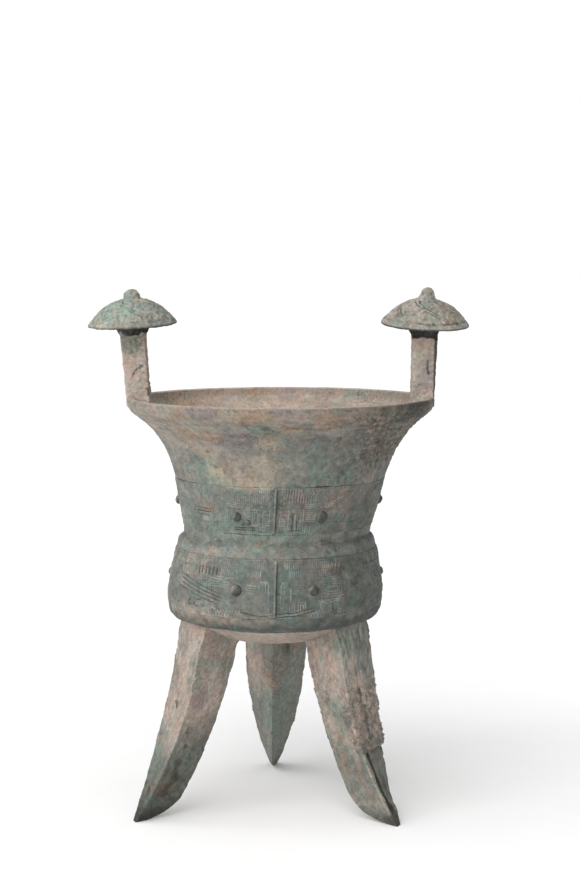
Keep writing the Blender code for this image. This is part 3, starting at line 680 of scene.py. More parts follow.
def rows(start, end, heights, bend=0.0):
    """Level strokes one above the other, bending upwards at their far end."""
    middle, strokes = (start + end) / 2, []
    for height in heights:
        strokes += lines_through([(start, height), (middle, height), (end, height + bend)])
    return strokes


def square_spiral(left, foot, width, height, pitch=THREAD_PITCH):
    """A spiral with square corners that winds inwards."""
    right, top = left + width, foot + height
    points = [(left, foot)]
    while right - left > pitch * 0.6 and top - foot > pitch * 0.6:
        points += [(left, top), (right, top), (right, foot)]
        left, right = left + pitch, right - pitch
        top, foot = top - pitch, foot + pitch
        if right - left <= pitch * 0.6:
            break
        points.append((left, points[-1][1]))
    return lines_through(points)


print("strokes in a spiral 6 mm wide:", len(square_spiral(0, 0, 6, 6)))

# %% [markdown]
# The upper mask, from its flange outwards: upright quills along the top, a forehead of square spirals, the eye, and
# a body of quills and crosses that ends in a curled tail.

# %% Upper half mask
def upper_half_mask():
    """Half a mask of the upper band, 65 mm long and 29.5 mm high."""
    strokes = rows(1.5, 64, (28.7, 0.6))
    strokes += quills(4, 14, 24.4, 27.8) + quills(14, 34, 24.4, 27.8, slant=1.5)
    strokes += quills(36, 60, 24.4, 27.8, slant=-1.0)
    strokes += quills(8, 31, 20.2, 23.7) + square_spiral(44, 20.2, 6.8, 3.8) + quills(54, 64, 20.2, 23.7)
    strokes += rows(16, 33, (19.0, 17.8, 16.6), 1.1) + lines_through([(33, 20.1), (35.5, 21.8), (39, 22.6)])
    strokes += lines_through([(5, 18.6), (5, 21.5), (6.6, 23.6)]) + lines_through([(3.4, 17), (3.4, 22), (5, 24)])
    strokes += square_spiral(10.2, 6.0, 5.4, 9.4) + rows(17.2, 22.4, (15.3, 13.9, 12.5, 11.1, 9.7, 8.3))
    strokes += lines_through([(8.0, 5.4), (8.0, 15.4)], 0.32, 0.9) + rows(6.2, 10.4, (4.6, 3.3))
    strokes += rows(3.2, 6.6, (14.6, 12.6, 10.2, 8.8, 7.4, 6.0)) + lines_through([(3.2, 6), (3.2, 15)])
    strokes += quills(12, 32, 1.6, 5.0) + quills(30, 43, 7.6, 14.8, slant=0.6)
    strokes += quills(37, 50, 15.8, 19.2) + rows(31, 40, (6.2, 4.8), -0.6)
    for step in range(6):
        place = 44 + 1.5 * step
        strokes += lines_through([(place, 7.2), (place + 2.6, 12.4)])
        strokes += lines_through([(place + 2.6, 7.2), (place, 12.4)])
    strokes += quills(55, 64, 8.6, 14.0) + quills(42, 64, 1.8, 5.6)
    return strokes


print("strokes in the upper half mask:", len(upper_half_mask()))

# %% [markdown]
# The lower mask is drawn in the same way, with a jaw of level lines and teeth at the foot, and five lines that sweep
# down from the side behind its eye.

# %% Lower half mask
def lower_half_mask():
    """Half a mask of the lower band, 70 mm long and 35.5 mm high."""
    strokes = rows(1.5, 69, (34.7, 0.6))
    strokes += quills(6, 40, 29.8, 33.6) + quills(9, 36, 25.0, 28.6) + quills(42, 52, 29.8, 33.6, slant=1.0)
    strokes += rows(20, 38, (23.8,), 0.5) + quills(4, 7, 15, 22, pitch=1.5)
    strokes += lines_through([(3.4, 11), (3.4, 20), (5, 22), (8.4, 22)])
    strokes += lines_through([(9.6, 10.4), (9.6, 19.6)], 0.3, 0.9) + rows(11.5, 17.5, (19.8, 18.4, 17.0, 15.6), 0.6)
    strokes += square_spiral(3.6, 4.8, 3.6, 4.4) + square_spiral(14.0, 5.0, 4.4, 5.0) + quills(9, 13, 5.0, 9.4)
    strokes += lines_through([(1.6, 1.8), (9, 2.2), (17, 3.8)]) + lines_through([(1.6, 3.2), (9, 3.6), (17, 5.0)])
    strokes += square_spiral(28.5, 12.6, 14.0, 8.6) + lines_through([(29, 23.6), (34, 22.4), (42, 23.2)], 0.28, 0.9)
    strokes += square_spiral(38, 4.8, 6.4, 6.0) + quills(28, 36, 5.6, 10.6, slant=-1.2)
    for step in range(9):
        place = 19 + 2.0 * step
        strokes += lines_through([(place, 4.6), (place + 1.0, 1.4), (place + 2.0, 4.6)])
    strokes += quills(45, 50, 15, 20) + square_spiral(45.5, 21.6, 7, 6.4)
    for drop in (0.0, 2.0, 4.0, 6.0, 8.0):
        sweep = [(70, 23.4), (58, 18.0), (47, 13.6), (37, 11.0), (28, 10.0)]
        strokes += lines_through([(x, y - drop * 0.75) for x, y in sweep[:5 - int(drop > 3)]], 0.24, 1.1)
    strokes += quills(54, 69, 23, 28) + quills(56, 69, 29.8, 33.6) + quills(40, 69, 1.8, 4.6)
    return strokes


print("strokes in the lower half mask:", len(lower_half_mask()))

# %% [markdown]
# On the front masks some lines are deep and dark, and differ at the left and the right. They are cut and not raised,
# so they have drawings of their own: a half width and the points of each line, in the same millimetres.

# %% Cuts of the front masks
FRONT_CUTS = {
    ("upper_band", 1): [(0.3, (10.2, 3.0), (10.4, 8), (10.0, 13.4)), (0.17, (12.6, 3.0), (12.6, 8.6)),
                        (0.17, (8.4, 2.8), (14.4, 2.8)), (0.17, (8.8, 11.5), (11.8, 13.6))],
    ("upper_band", -1): [(0.22, (25, 9.6), (22, 9.0), (21.2, 6.8), (23, 5.8)),
                         (0.22, (19, 9.4), (17.2, 8.2), (17.8, 6.4), (19.8, 6)),
                         (0.26, (14, 4.4), (28, 4.4)), (0.26, (14, 2.9), (28, 2.9)), (0.22, (46, 14.4), (57, 15.0)),
                         (0.22, (46, 12.4), (57, 13.0)), (0.22, (46, 10.4), (57, 11.0))],
    ("lower_band", 1): [(0.18, (2, 1.4), (12, 2.0), (24, 4.4)), (0.18, (2, 3.2), (12, 3.9), (22, 6)),
                        (0.17, (36, 26.6), (38, 30)), (0.17, (40.4, 26), (40.4, 31)), (0.17, (42.6, 26), (43.6, 30))],
    ("lower_band", -1): [(0.18, (3, 1.6), (12, 2.2), (20, 4)), (0.24, (48, 9.8), (52, 8.4), (54, 5.6), (51, 4.6)),
                         (0.24, (57, 9), (60, 7), (58, 4.8)), (0.15, (69, 23), (50, 18), (33, 13.8)),
                         (0.17, (69, 20.4), (50, 15.6), (33, 11.8)), (0.17, (69, 17.8), (50, 13.4), (34, 9.8)),
                         (0.15, (69, 15.4), (52, 11.4), (38, 8.4)),
                         *((0.26, (place, 25), (place, 29)) for place in np.arange(38, 56, 2.9))],
}
print("cuts of the front masks:", {key: len(group) for key, group in FRONT_CUTS.items()})

# %% [markdown]
# A drawing becomes a height map: a fine grid that holds, at each point, the height of the highest stroke near it. A
# stroke is flat on top and falls off gently at both sides. The bands then look their heights up in the map.

# %% Height maps
MAP_STEP, STROKE_REACH = 0.12, 1.2


def nearby(start, end):
    """The grid lines that a stroke between two places can reach."""
    first, last = min(start, end) - STROKE_REACH, max(start, end) + STROKE_REACH
    return slice(max(0, int(first / MAP_STEP)), int(last / MAP_STEP) + 1)


def relief_map(strokes, width, height):
    """Height of the drawing at the points of a fine grid, in millimetres from its lower left corner."""
    across, up = np.meshgrid(np.arange(0, width + MAP_STEP, MAP_STEP), np.arange(0, height + MAP_STEP, MAP_STEP))
    field = np.zeros_like(across)
    for x0, y0, x1, y1, thick, lift in strokes:
        lines, columns = nearby(y0, y1), nearby(x0, x1)
        x, y = across[lines, columns], up[lines, columns]
        length = (x1 - x0) ** 2 + (y1 - y0) ** 2
        share = np.clip(((x - x0) * (x1 - x0) + (y - y0) * (y1 - y0)) / max(length, 1e-9), 0, 1)
        away = np.hypot(x - x0 - share * (x1 - x0), y - y0 - share * (y1 - y0))
        field[lines, columns] = np.maximum(field[lines, columns], lift * faded(away, thick * 0.4, thick * 2.1))
    return field


def looked_up(field, x, y):
    """The map's height at places between its points, by mixing the four points around each."""
    column = np.clip(x / MAP_STEP, 0, field.shape[1] - 1.01)
    line = np.clip(y / MAP_STEP, 0, field.shape[0] - 1.01)
    c, l = column.astype(int), line.astype(int)
    u, v = column - c, line - l
    return (field[l, c] * (1 - u) * (1 - v) + field[l, c + 1] * u * (1 - v)
            + field[l + 1, c] * (1 - u) * v + field[l + 1, c + 1] * u * v)


print("points in a map of 60 by 30 mm:", relief_map([], 60, 30).shape)

# %% [markdown]
# A band is turned as a plain ring first. Its outer face has rings and columns less than half a millimetre apart, so
# that the threads can be pressed into it. Its back lies inside the wall and is coarse.

# %% Plain rings
THREAD, FIELD, FLANGE, BAND_DEPTH, BAND_COLUMNS = 0.00042, 0.00022, 0.0013, 0.0014, 1080
FLANGE_SHIFT, SHIFT_REACH, HALF_MASK = 2.8, 14, 60
EYES = {"upper_band": (24.4, 10.9, 0.8), "lower_band": (20.5, 16.7, 0.0)}


def band_ring(name, low, high, step):
    """The plain ring of a band: a fine outer face, a short way in at both edges, and a coarse back."""
    face = spaced(side(high, low), step)
    ring = np.vstack([[face[0] - (BAND_DEPTH, 0)], face, [face[-1] - (BAND_DEPTH, 0)]])
    back = spaced(side(low, high), 0.006) - (BAND_DEPTH, 0)
    return turned(name, np.vstack([ring, back[1:-1], ring[:1]]), BAND_COLUMNS)


print("step round the upper band in mm:", round(2000 * math.pi * float(plain_radius(UPPER_BAND[0])) / BAND_COLUMNS, 2))

# %% [markdown]
# Where the band has been rubbed or eaten away its threads are lower, so their height is multiplied by slow noise, and
# the front masks are rubbed most at their sides. The flange on each mask's middle line is a thin upright ridge with a
# thin painted shadow along one side, and the upper front one stands a little to the left. Around each eye the ground
# is left plain. The bands share the bowl's painted shade at the right, and the upper one has painted light at the left.

# %% Bands
def band(name, low, high, strokes, step, seed):
    """One ornament band as a closed ring with its masks in low relief, with its heights and cuts."""
    piece = band_ring(name, low, high, step)
    eye_angle, eye_height, turn = EYES[name]
    where = places(piece)
    radius = np.hypot(where[:, 0], where[:, 1])
    outer = radius > plain_radius(where[:, 2]) - 0.0006
    angle = np.degrees(np.arctan2(where[:, 0], -where[:, 1])) - turn
    if name == "upper_band":
        angle = angle + FLANGE_SHIFT * np.exp(-(angle / SHIFT_REACH) ** 2)
    front = np.abs((angle + 180) % 360 - 180) < HALF_MASK
    signed = (angle + HALF_MASK) % (2 * HALF_MASK) - HALF_MASK
    scale = np.radians(1) * 1000 * float(plain_radius((low + high) / 2))
    length, tall = HALF_MASK * scale, 1000 * (high - low)
    x, y = np.abs(signed) * scale, (where[:, 2] - low) * 1000
    threads = looked_up(relief_map(strokes, length, tall), x, y)
    deep = 0
    for sign in (-1, 1):
        cuts = [stroke for width, *points in FRONT_CUTS[name, sign] for stroke in lines_through(points, width)]
        deep = deep + looked_up(relief_map(cuts, length, tall), x, y) * (sign * signed > 0) * front
    deep = deep * np.clip(0.85 + 0.6 * lumps(where, 0.004, seed + 2, 2), 0.2, 1.0)
    worn = np.clip(0.75 + 0.9 * lumps(where, 0.013, seed, 2), 0.1, 1.15)
    worn *= np.clip(0.9 + 0.7 * lumps(where, 0.003, seed + 1, 2), 0.4, 1.1)
    rubbed = 0.55 * smooth(signed * scale, 36, 52) + 0.4 * smooth(-signed * scale, 22, 40) * (name == "upper_band")
    worn *= 1 - rubbed * front
    from_eye = np.hypot(x - eye_angle * scale, y - eye_height)
    plain = smooth(from_eye, 3.2, 4.4)
    ring_line = faded(np.abs(from_eye - 3.9), 0.2, 0.5) * 0.4
    border = smooth(y, 0, 0.9) * smooth(tall - y, 0, 0.9)
    ridge = faded(x, 0.35, 1.0) * smooth(y, 0.2, 1.5) * smooth(tall - y, 0.2, 1.5)
    relief = np.maximum(threads * plain * worn, ring_line * worn) * (1 - deep) - deep
    lift = np.where(outer, border * (FIELD + relief * THREAD) + ridge * FLANGE, 0)
    where[:, :2] *= (1 + lift / radius)[:, None]
    put(piece, where)
    corroded(piece, 0.016, 0.0005, 1)
    fine = corroded(piece, 0.0045, 0.00012, 2)
    leaned(piece)
    # Painted shadow: a thin dark line along one side of each flange, the right side on the front masks; no groove is
    # cut there.
    groove = faded(np.abs(signed * scale - 0.95), 0.25, 0.6) * smooth(y, 1, 3) * smooth(tall - y, 1, 3)
    # Painted shade on the right side of the band, as on the bowl.
    painted_right_shade = painted_shade_amount(where)
    level = (0.35 + (0.55 - 0.14 * painted_right_shade) * relief + 0.22 * ridge - 0.12 * (1 - border) + 0.14 * fine
             - 0.3 * groove - 0.17 * painted_right_shade)
    # Painted light: the upper band is made lighter at the left, the side the lamps come from.
    if name == "upper_band":
        return piece, level + 0.08 * smooth(-where[:, 0], 0.015, 0.045), deep
    return piece, level - 0.02, deep


for name, extent, drawing, step, seed in (("upper_band", UPPER_BAND, upper_half_mask(), 0.00042, 11),
                                          ("lower_band", LOWER_BAND, lower_half_mask(), 0.00046, 21)):
    piece, level, deep = band(name, *extent, drawing, step, seed)
    finished(piece, grey_green, {"crust": 0.14, "green": 0.26, "violet": 0.1, "rust": 0.06, "dark": 0.2 * deep}, level)

# %% [markdown]
# An eye is a round boss like half a bead. One bead is modelled and copied to all twelve places, each copy with its
# own worn shape, and the copies are joined to one piece. Handling has kept the bosses dark and smooth; painted light
# makes them lighter where they face the upper left, towards the lamps.

# %% Eyes
bpy.ops.object.select_all(action="DESELECT")
bpy.ops.mesh.primitive_uv_sphere_add(segments=28, ring_count=16, radius=0.003)
first_boss = bpy.context.object
bpy.ops.object.mode_set(mode="EDIT")
bpy.ops.mesh.select_all(action="SELECT")
bpy.ops.transform.resize(value=(1, 1, 0.95))
bpy.ops.object.mode_set(mode="OBJECT")


def eye_boss(angle, height, width, tall, seed):
    """A copy of the boss, of its own width and height, standing square to the wall."""
    alone(first_boss)
    bpy.ops.object.duplicate()
    boss = bpy.context.object
    around = math.radians(angle)
    radius = float(plain_radius(height)) + 0.0002
    boss.location = (radius * math.sin(around), -radius * math.cos(around), height)
    boss.rotation_euler = (math.pi / 2, 0, around)
    boss.scale = (width, tall, 1)
    bpy.ops.object.transform_apply(location=True, rotation=True, scale=True)
    corroded(boss, 0.002, 0.0003, seed)
    return boss


EYE_SIZES = {("upper_band", 0, -1): (0.9, 0.95), ("upper_band", 0, 1): (1.12, 1.3),
             ("lower_band", 0, -1): (1.18, 1.15), ("upper_band", 120, -1): (1.05, 1.1)}
SIDE_EYE = (27.2, 14.2)
bosses = []
for name, extent in (("upper_band", UPPER_BAND), ("lower_band", LOWER_BAND)):
    eye_angle, eye_height, turn = EYES[name]
    for middle in (0, 120, 240):
        for sign in (-1, 1):
            width, tall = EYE_SIZES.get((name, middle, sign), (1, 1))
            away, up = SIDE_EYE if name == "upper_band" and middle else (eye_angle, eye_height)
            bosses.append(eye_boss(middle + turn + sign * away, extent[0] + up / 1000, width, tall, len(bosses) + 30))
bpy.data.objects.remove(first_boss)
bpy.ops.object.select_all(action="DESELECT")
for boss in bosses:
    boss.select_set(True)
bpy.context.view_layer.objects.active = bosses[0]
bpy.ops.object.join()
eyes = bpy.context.object
eyes.name = eyes.data.name = "eye_bosses"
leaned(eyes)
# Painted light: each boss is lighter and less dark on the side that faces the upper left.
painted_light_facet = smooth(-directions(eyes)[:, 0] + 0.5 * directions(eyes)[:, 2], 0.35, 0.8)
finished(eyes, grey_green, {"crust": 0.1, "green": 0.15, "dark": 0.85 - 0.7 * painted_light_facet}, 0.36 + 0.24 * painted_light_facet)

# %% [markdown]
# A leg is a curved horn with a triangular section: a broad outer face and a ridge towards the middle. A circle is
# swept straight up in small steps, like a roll of clay, and then pressed to that section. The section's corners stay
# on the same columns all the way, so the ridges stay crisp, and rounds of averaging wear them a little.

# %% Rolls and sections
def roll(name, columns, rings, height):
    """An upright roll of clay, swept from a circle, with the ring and the column of each of its vertices."""
    bpy.ops.object.select_all(action="DESELECT")
    bpy.ops.mesh.primitive_circle_add(vertices=columns, radius=0.01)
    piece = bpy.context.object
    piece.name = piece.data.name = name
    screwed(piece, rings + 1, 0, height)
    closed()
    where = places(piece)
    ring = np.rint(where[:, 2] / height * rings).astype(int)
    column = np.rint(np.degrees(np.arctan2(where[:, 1], where[:, 0])) / 360 * columns).astype(int) % columns
    return piece, ring, column


def direction(degrees):
    """A level direction, counted from the right and towards the back."""
    return np.array([math.cos(math.radians(degrees)), math.sin(math.radians(degrees)), 0.0])


def worn_polygon(corners, counts, passes=2):
    """Points round a polygon, so many on each side, with its corners averaged away a little."""
    points = []
    for index, count in enumerate(counts):
        start, end = corners[index], corners[(index + 1) % len(corners)]
        points += [start + (end - start) * step / count for step in range(count)]
    points = np.array(points)
    for _ in range(passes):
        points = (np.roll(points, 1, 0) + 2 * points + np.roll(points, -1, 0)) / 4
    return points


print("direction of the rear leg:", direction(89).round(3))

# %% [markdown]
# The three legs share one curve and one taper. Each has its own direction from the axis and way of facing, in
# degrees, and its own reach and depth. The counts are the columns on each side of the section: outer face, three
# narrow sides round the ridge in front, and the two faces towards the middle. The right leg's foot has a channel,
# where part of its outer face has broken away and leaves the core's edge standing.

# %% Leg forms
LEG_TOP_RADIUS, FOOT_RADIUS, LEG_SPLAY, LEG_WIDTH, FOOT_WIDTH, LEG_TAPER = 0.0585, 0.0930, 1.7, 0.0425, 0.0050, 2.7
FOOT_DEPTH, HEEL_ROUND, LEG_ROOT, LEG_LAST = 0.0080, 0.04, 0.0012, 0.86
LEGS = {"left": (207, 201, 0.0, 0.0345, 0.0250), "right": (327, 333, 0.0014, 0.0365, 0.0275),
        "rear": (89, 87, 0.0008, 0.0345, 0.0250)}
FACES = {"left": (40, 5, 7, 44, 44), "right": (64, 5, 9, 52, 50), "rear": (40, 5, 7, 44, 44)}
LEG_RINGS = {"left": 150, "right": 230, "rear": 150}
CHANNEL_HEIGHTS, CHANNEL_DEPTH, CHANNEL_RUN_IN, CHANNEL_EDGE = (0.0073, 0.0450), 0.0026, 0.0170, 0.0035


def leg_ring(name, share):
    """One section of a leg at a share of its height."""
    azimuth, facing, outset, top_depth, heel_depth = LEGS[name]
    outward = direction(facing)
    across = np.array([-outward[1], outward[0], 0.0])
    reach = LEG_TOP_RADIUS + (FOOT_RADIUS - LEG_TOP_RADIUS) * (1 - share) ** LEG_SPLAY + outset
    width = FOOT_WIDTH + (LEG_WIDTH - FOOT_WIDTH) * (1 - (1 - share) ** LEG_TAPER)
    depth = FOOT_DEPTH + (heel_depth - FOOT_DEPTH) * (1 - math.exp(-share / HEEL_ROUND))
    depth += (top_depth - heel_depth) * share
    height = share * LEG_HEIGHT
    middle = direction(azimuth) * reach + np.array([0, 0, height])
    back, front, ridge = middle + across * width / 2, middle - across * width / 2, middle - outward * depth
    low, high = CHANNEL_HEIGHTS
    deep = CHANNEL_DEPTH * min(1, height / CHANNEL_RUN_IN) * (low < height < high) * (name == "right")
    deep *= float(smooth(height, low, low + 0.006))
    standing = min(CHANNEL_EDGE * min(1, 0.35 + height / high), width * 0.4)
    sunk = outward * deep
    corners = [back - sunk, front + across * (standing + 0.0008) - sunk, front + across * standing, front, ridge]
    return worn_polygon(corners, FACES[name])


def leg(name):
    """One leg from its foot to its root in the base."""
    rings = LEG_RINGS[name]
    piece, ring, column = roll("leg_" + name, sum(FACES[name]), rings, LEG_HEIGHT)
    root = leg_ring(name, 1.0)
    radius = np.hypot(root[:, 0], root[:, 1])
    inside = np.minimum(radius, CREASE_RADIUS - LEG_ROOT)
    root[:, :2] *= (inside / radius)[:, None]
    root[:, 2] = base_height(inside) + LEG_ROOT
    sections = []
    for index in range(rings + 1):
        share = index / rings
        if share <= LEG_LAST:
            sections.append(leg_ring(name, share))
        else:
            mix = (share - LEG_LAST) / (1 - LEG_LAST)
            sections.append(leg_ring(name, LEG_LAST) * (1 - mix) + root * mix)
    put(piece, np.array(sections)[ring, column])
    return piece, ring, column


print("height of the legs in mm:", round(1000 * LEG_HEIGHT, 1))

# %% [markdown]
# The legs are the most corroded part. All three are lumpy and finely streaked downwards, with small knobs along their
# corners. The right one carries a thick knobbly crust over its outer face, which spreads round the corner, and deep
# streaks at its root. Cracks run through the crust.

# %% Surface of the legs
LEG_CRACKS = {"left": [[(-62.7, -30.5, 72.5), (-61.6, -34, 71), (-61.8, -33, 69)]],
              "right": [[(54.6, -37, 78), (54.8, -36, 73), (52.2, -38.5, 70.5), (53.4, -39, 65), (52.8, -42, 63),
                         (54.4, -41, 57), (53.6, -44, 53), (54.4, -45, 49.5)],
                        [(48.6, -40.3, 82), (50.2, -40, 78), (49.4, -41, 74)]], "rear": []}
CRACK_HALF, CRACK_DEPTH, STREAK_DEPTH, KNOB_RISE = 0.0008, 0.0012, 0.0003, 0.0024


def worn_leg(name):
    """One leg with its worn surface: the piece, and what its colours are worked out from."""
    piece, ring, column = leg(name)
    where = places(piece)
    height = where[:, 2]
    faces = np.cumsum(FACES[name])
    outer = (column < faces[2]) | (column > faces[4] - 3)
    share = smooth(height, 0.001, 0.008) * smooth(LEG_RINGS[name] - ring, 1, 12)
    crusty = share * smooth(height, 0.0445, 0.047) * faded(height, 0.074, 0.094) * (name == "right")
    crusty = crusty * np.where(outer, 1.0, 1 - 0.9 * smooth(column - faces[2] + 6 * lumps(where, 0.009, 41, 2), 3, 19))
    corroded(piece, 0.012, 0.0006, 40 + len(name), share)
    fine = corroded(piece, 0.0036, 0.0003, 45 + len(name), share)
    rooted = smooth(height, 0.078, 0.092) * outer * (name == "right")
    streaks = lumps(where * (1, 1, 0.18), 0.0021, 47, 2) * share * smooth(height, 0.05, 0.07)
    streaks *= np.where(outer, 0.4, 0.2) * (1 - 0.6 * crusty) + 0.9 * rooted
    grown = knobs(where, 0.0062, 48) * 0.5 + knobs(where, 0.0029, 49) * 0.5
    edges = np.min([np.abs(column - faces[2]), np.abs(column - faces[3]), column, faces[4] - column], axis=0) < 5
    patches = smooth(lumps(where, 0.014, 46, 2), 0.0, 0.35)
    grown = (grown - 0.45) * np.maximum(crusty, 0.45 * share * edges * patches * (height > 0.03))
    swelled(piece, streaks * STREAK_DEPTH + grown * KNOB_RISE)
    leaned(piece)
    crack = cracked(piece, LEG_CRACKS[name], CRACK_HALF, CRACK_DEPTH) if LEG_CRACKS[name] else 0
    level = 0.5 + 0.2 * fine + 0.38 * streaks + 0.85 * grown - 0.8 * crack
    return piece, where, ring, column, outer, crusty, rooted, level


print("cracks in the legs:", sum(len(group) for group in LEG_CRACKS.values()))

# %% [markdown]
# Their colours change with height. The feet are greener and darker. The left leg has a grey face beside its buff one,
# with a pinkish spot in it. On the right leg the channel's floor is dark beside its pale lip, and painted shadow makes
# the groove next to it nearly black, where the standing edge would shade it. The rear leg's right face is plainer and
# greener.

# %% Colours of the legs
CRUST_SHARES = {"left": 0.72, "right": 0.66, "rear": 0.42}
for name in LEGS:
    piece, where, ring, column, outer, crusty, rooted, level = worn_leg(name)
    height, faces = where[:, 2], np.cumsum(FACES[name])
    low, end = faded(height, 0.030, 0.062), faded(height, 0.003, 0.013)

    channel = smooth(height, 0.006, 0.012) * (height < CHANNEL_HEIGHTS[1]) * (name == "right")
    lip = channel * ((column > faces[1]) & (column < faces[2] + 3))
    corner = np.zeros((ring.max() + 1, 3))
    corner[ring[column == faces[0]]] = where[column == faces[0]]
    # Painted shadow: the channel's floor along the foot of the standing edge is made nearly black.
    groove = channel * (column <= faces[0]) * faded(np.linalg.norm(where - corner[ring], axis=1), 0.0058, 0.0072)

    tip = faded(height, 0.018, 0.045) * (name == "left")
    winding = faces[4] - column + 7 * lumps(where, 0.012, 44, 2)
    greyed = smooth(winding, -2, 5) * faded(winding, 44, 48) * (name == "left")
    greyed = greyed * faded(height + 0.006 * lumps(where, 0.01, 43, 2), 0.094, 0.106)
    lower = greyed * faded(height + 0.006 * lumps(where, 0.01, 42, 2), 0.060, 0.070)
    pinkish = greyed * np.exp(-((height - 0.076) / 0.006) ** 2)
    plain = smooth(where[:, 0], -0.0075, -0.0035) * (name == "rear")

    crust = (CRUST_SHARES[name] - 0.45 * low - 0.4 * low * (name == "right") - 0.25 * crusty - 0.5 * rooted
             - 0.35 * greyed + 0.3 * pinkish - 0.4 * end - 0.35 * plain)
    green = 0.12 + 0.22 * low + 0.25 * rooted + 0.25 * lower + 0.15 * plain
    dark = (0.1 * crusty + channel * outer * (0.12 + 0.4 * smooth(height, 0.034, 0.044)) + 0.9 * groove
            + 0.35 * tip + 0.45 * end)
    level = (level - 0.05 * low + 0.2 * lip - 0.5 * groove - 0.14 * tip - 0.1 * channel * outer
             - 0.06 * (name != "right") + 0.2 * (greyed - lower) - 0.06 * lower - 0.12 * end + 0.13 * plain)
    finished(piece, earthy, {"crust": crust, "green": green, "rust": 0.12 + 0.2 * tip, "cream": 0.12 + 0.4 * lip,
                             "violet": 0.3 * crusty + 0.45 * pinkish, "dark": dark}, level)

# %% [markdown]
# The posts stand on the lip and are rooted in the flare under it. Each is a square bar with worn edges that widens
# a little towards its cap. The left one also leans outwards.

# %% Posts
POST_RADIUS, POST_RISE, POST_WIDTH, POST_TOP_WIDTH, POST_DEPTH = 0.0886, 0.0390, 0.0142, 0.0158, 0.0140
COLLAR_HEIGHT, POST_ROOT = 0.0058, 0.0018
POSTS = {"left": (-1, 0.0044), "right": (1, 0.0002)}
POST_FACES, POST_RINGS, LIP_RING = (26, 26, 26, 26), 110, 30


def flare_height(radius):
    """The height at which the flare's outside reaches a radius."""
    heights = np.linspace(NECK_HEIGHT, LIP_HEIGHT, 2000)
    return np.interp(radius, plain_radius(heights), heights)


def post(name):
    """One post, from its root in the flare to its cap."""
    sign, outward = POSTS[name]
    piece, ring, column = roll("post_" + name, sum(POST_FACES), POST_RINGS, 0.05)

    def section(centre, width, height):
        corners = [np.array([centre + x * width / 2, y * POST_DEPTH / 2, height])
                   for x, y in ((1, -1), (1, 1), (-1, 1), (-1, -1))]
        return worn_polygon(corners, POST_FACES, 5)

    foot = section(sign * POST_RADIUS, POST_WIDTH, 0.0)
    inner = POST_RADIUS - POST_WIDTH / 2
    share = (np.abs(foot[:, 0]) - inner) / POST_WIDTH
    low = flare_height(inner) + POST_ROOT
    foot[:, 2] = low + (LIP_HEIGHT + POST_ROOT - low) * share
    lip = section(sign * POST_RADIUS, POST_WIDTH, RIM_HEIGHT)
    top = section(sign * (POST_RADIUS + outward), POST_TOP_WIDTH, RIM_HEIGHT + POST_RISE + COLLAR_HEIGHT)
    sections = [foot + (lip - foot) * index / LIP_RING for index in range(LIP_RING + 1)]
    sections += [lip + (top - lip) * index / (POST_RINGS - LIP_RING) for index in range(1, POST_RINGS - LIP_RING + 1)]
    put(piece, np.array(sections)[ring, column])
    return piece, ring


print("width of the posts in mm:", 1000 * POST_WIDTH)

# %% [markdown]
# Both posts are cracked, with painted shadow at the neck under the cap and painted shade down their right sides. The
# left one has a knobbly inner edge. The right one has whitish spots, and a painted shadow at the front of its outer
# side.

# %% Worn posts
POST_CRACKS = {"left": [[(-90.6, -7, 271.4), (-90.2, -7, 273), (-89.6, -7, 273.4), (-89.3, -7, 275.3),
                         (-87.9, -7, 275.6), (-87.6, -7, 276.9), (-86.2, -7, 276.5), (-85.4, -7, 278.2),
                         (-84.4, -7, 277.9)]],
               "right": [[(92.5, -7, 281), (92.2, -7, 277), (93, -7, 273)]]}
NECK_HEIGHTS, EDGE_KNOBS = {"left": 0.2985, "right": 0.2945}, {"left": 0.88, "right": 0.1}
for name in POSTS:
    piece, ring = post(name)
    where = places(piece)
    height = where[:, 2]
    share = smooth(ring, 4, 30)
    corroded(piece, 0.006, 0.0004, 50 + len(name), share)
    fine = corroded(piece, 0.002, 0.00025, 55 + len(name), share)
    right_edge = smooth(where[:, 0] - np.sign(where[:, 0]) * POST_RADIUS, 0.0050, 0.0070)
    grown = (knobs(where, 0.0034, 58) - 0.3) * share * (0.12 + EDGE_KNOBS[name] * right_edge)
    swelled(piece, grown * 0.0011)
    leaned(piece)
    crack = cracked(piece, POST_CRACKS[name], 0.00045, 0.0007)
    # Painted shadow at the neck under the cap, painted shade on each post's right side, and on the right post a painted
    # shadow strip along the front of its outer side.
    neck = smooth(height + 0.0012 * lumps(where, 0.004, 56, 2) - NECK_HEIGHTS[name], 0.0, 0.0018)
    painted_shadow_strip = smooth(where[:, 0] - POST_RADIUS, 0.0056, 0.0066) * (1 - 0.8 * smooth(where[:, 1], -0.0062, -0.0035))
    spots = smooth(lumps(where, 0.0032, 57, 2), 0.25, 0.5) * (name == "right")
    finished(piece, earthy,
             {"crust": 1.1 - 1.1 * neck, "green": 0.1 * (name == "left"), "cream": 0.12 + 0.9 * spots, "rust": 0.15,
              "violet": 0.4 * (name == "right"), "dark": 0.3 * right_edge + 1.3 * neck + 0.9 * painted_shadow_strip},
             0.74 + 0.16 * fine + 0.2 * grown - 0.6 * crack - 0.65 * neck - 0.4 * painted_shadow_strip + 0.1 * spots)

# %% [markdown]
# A cap is a shallow dome with a small knob, turned on the wheel, with a rounded rim and a flared collar below. Five
# lines whirl over it, and one runs round inside the rim. They are cut in code after the turning, by each point's
# distance to a spiral.

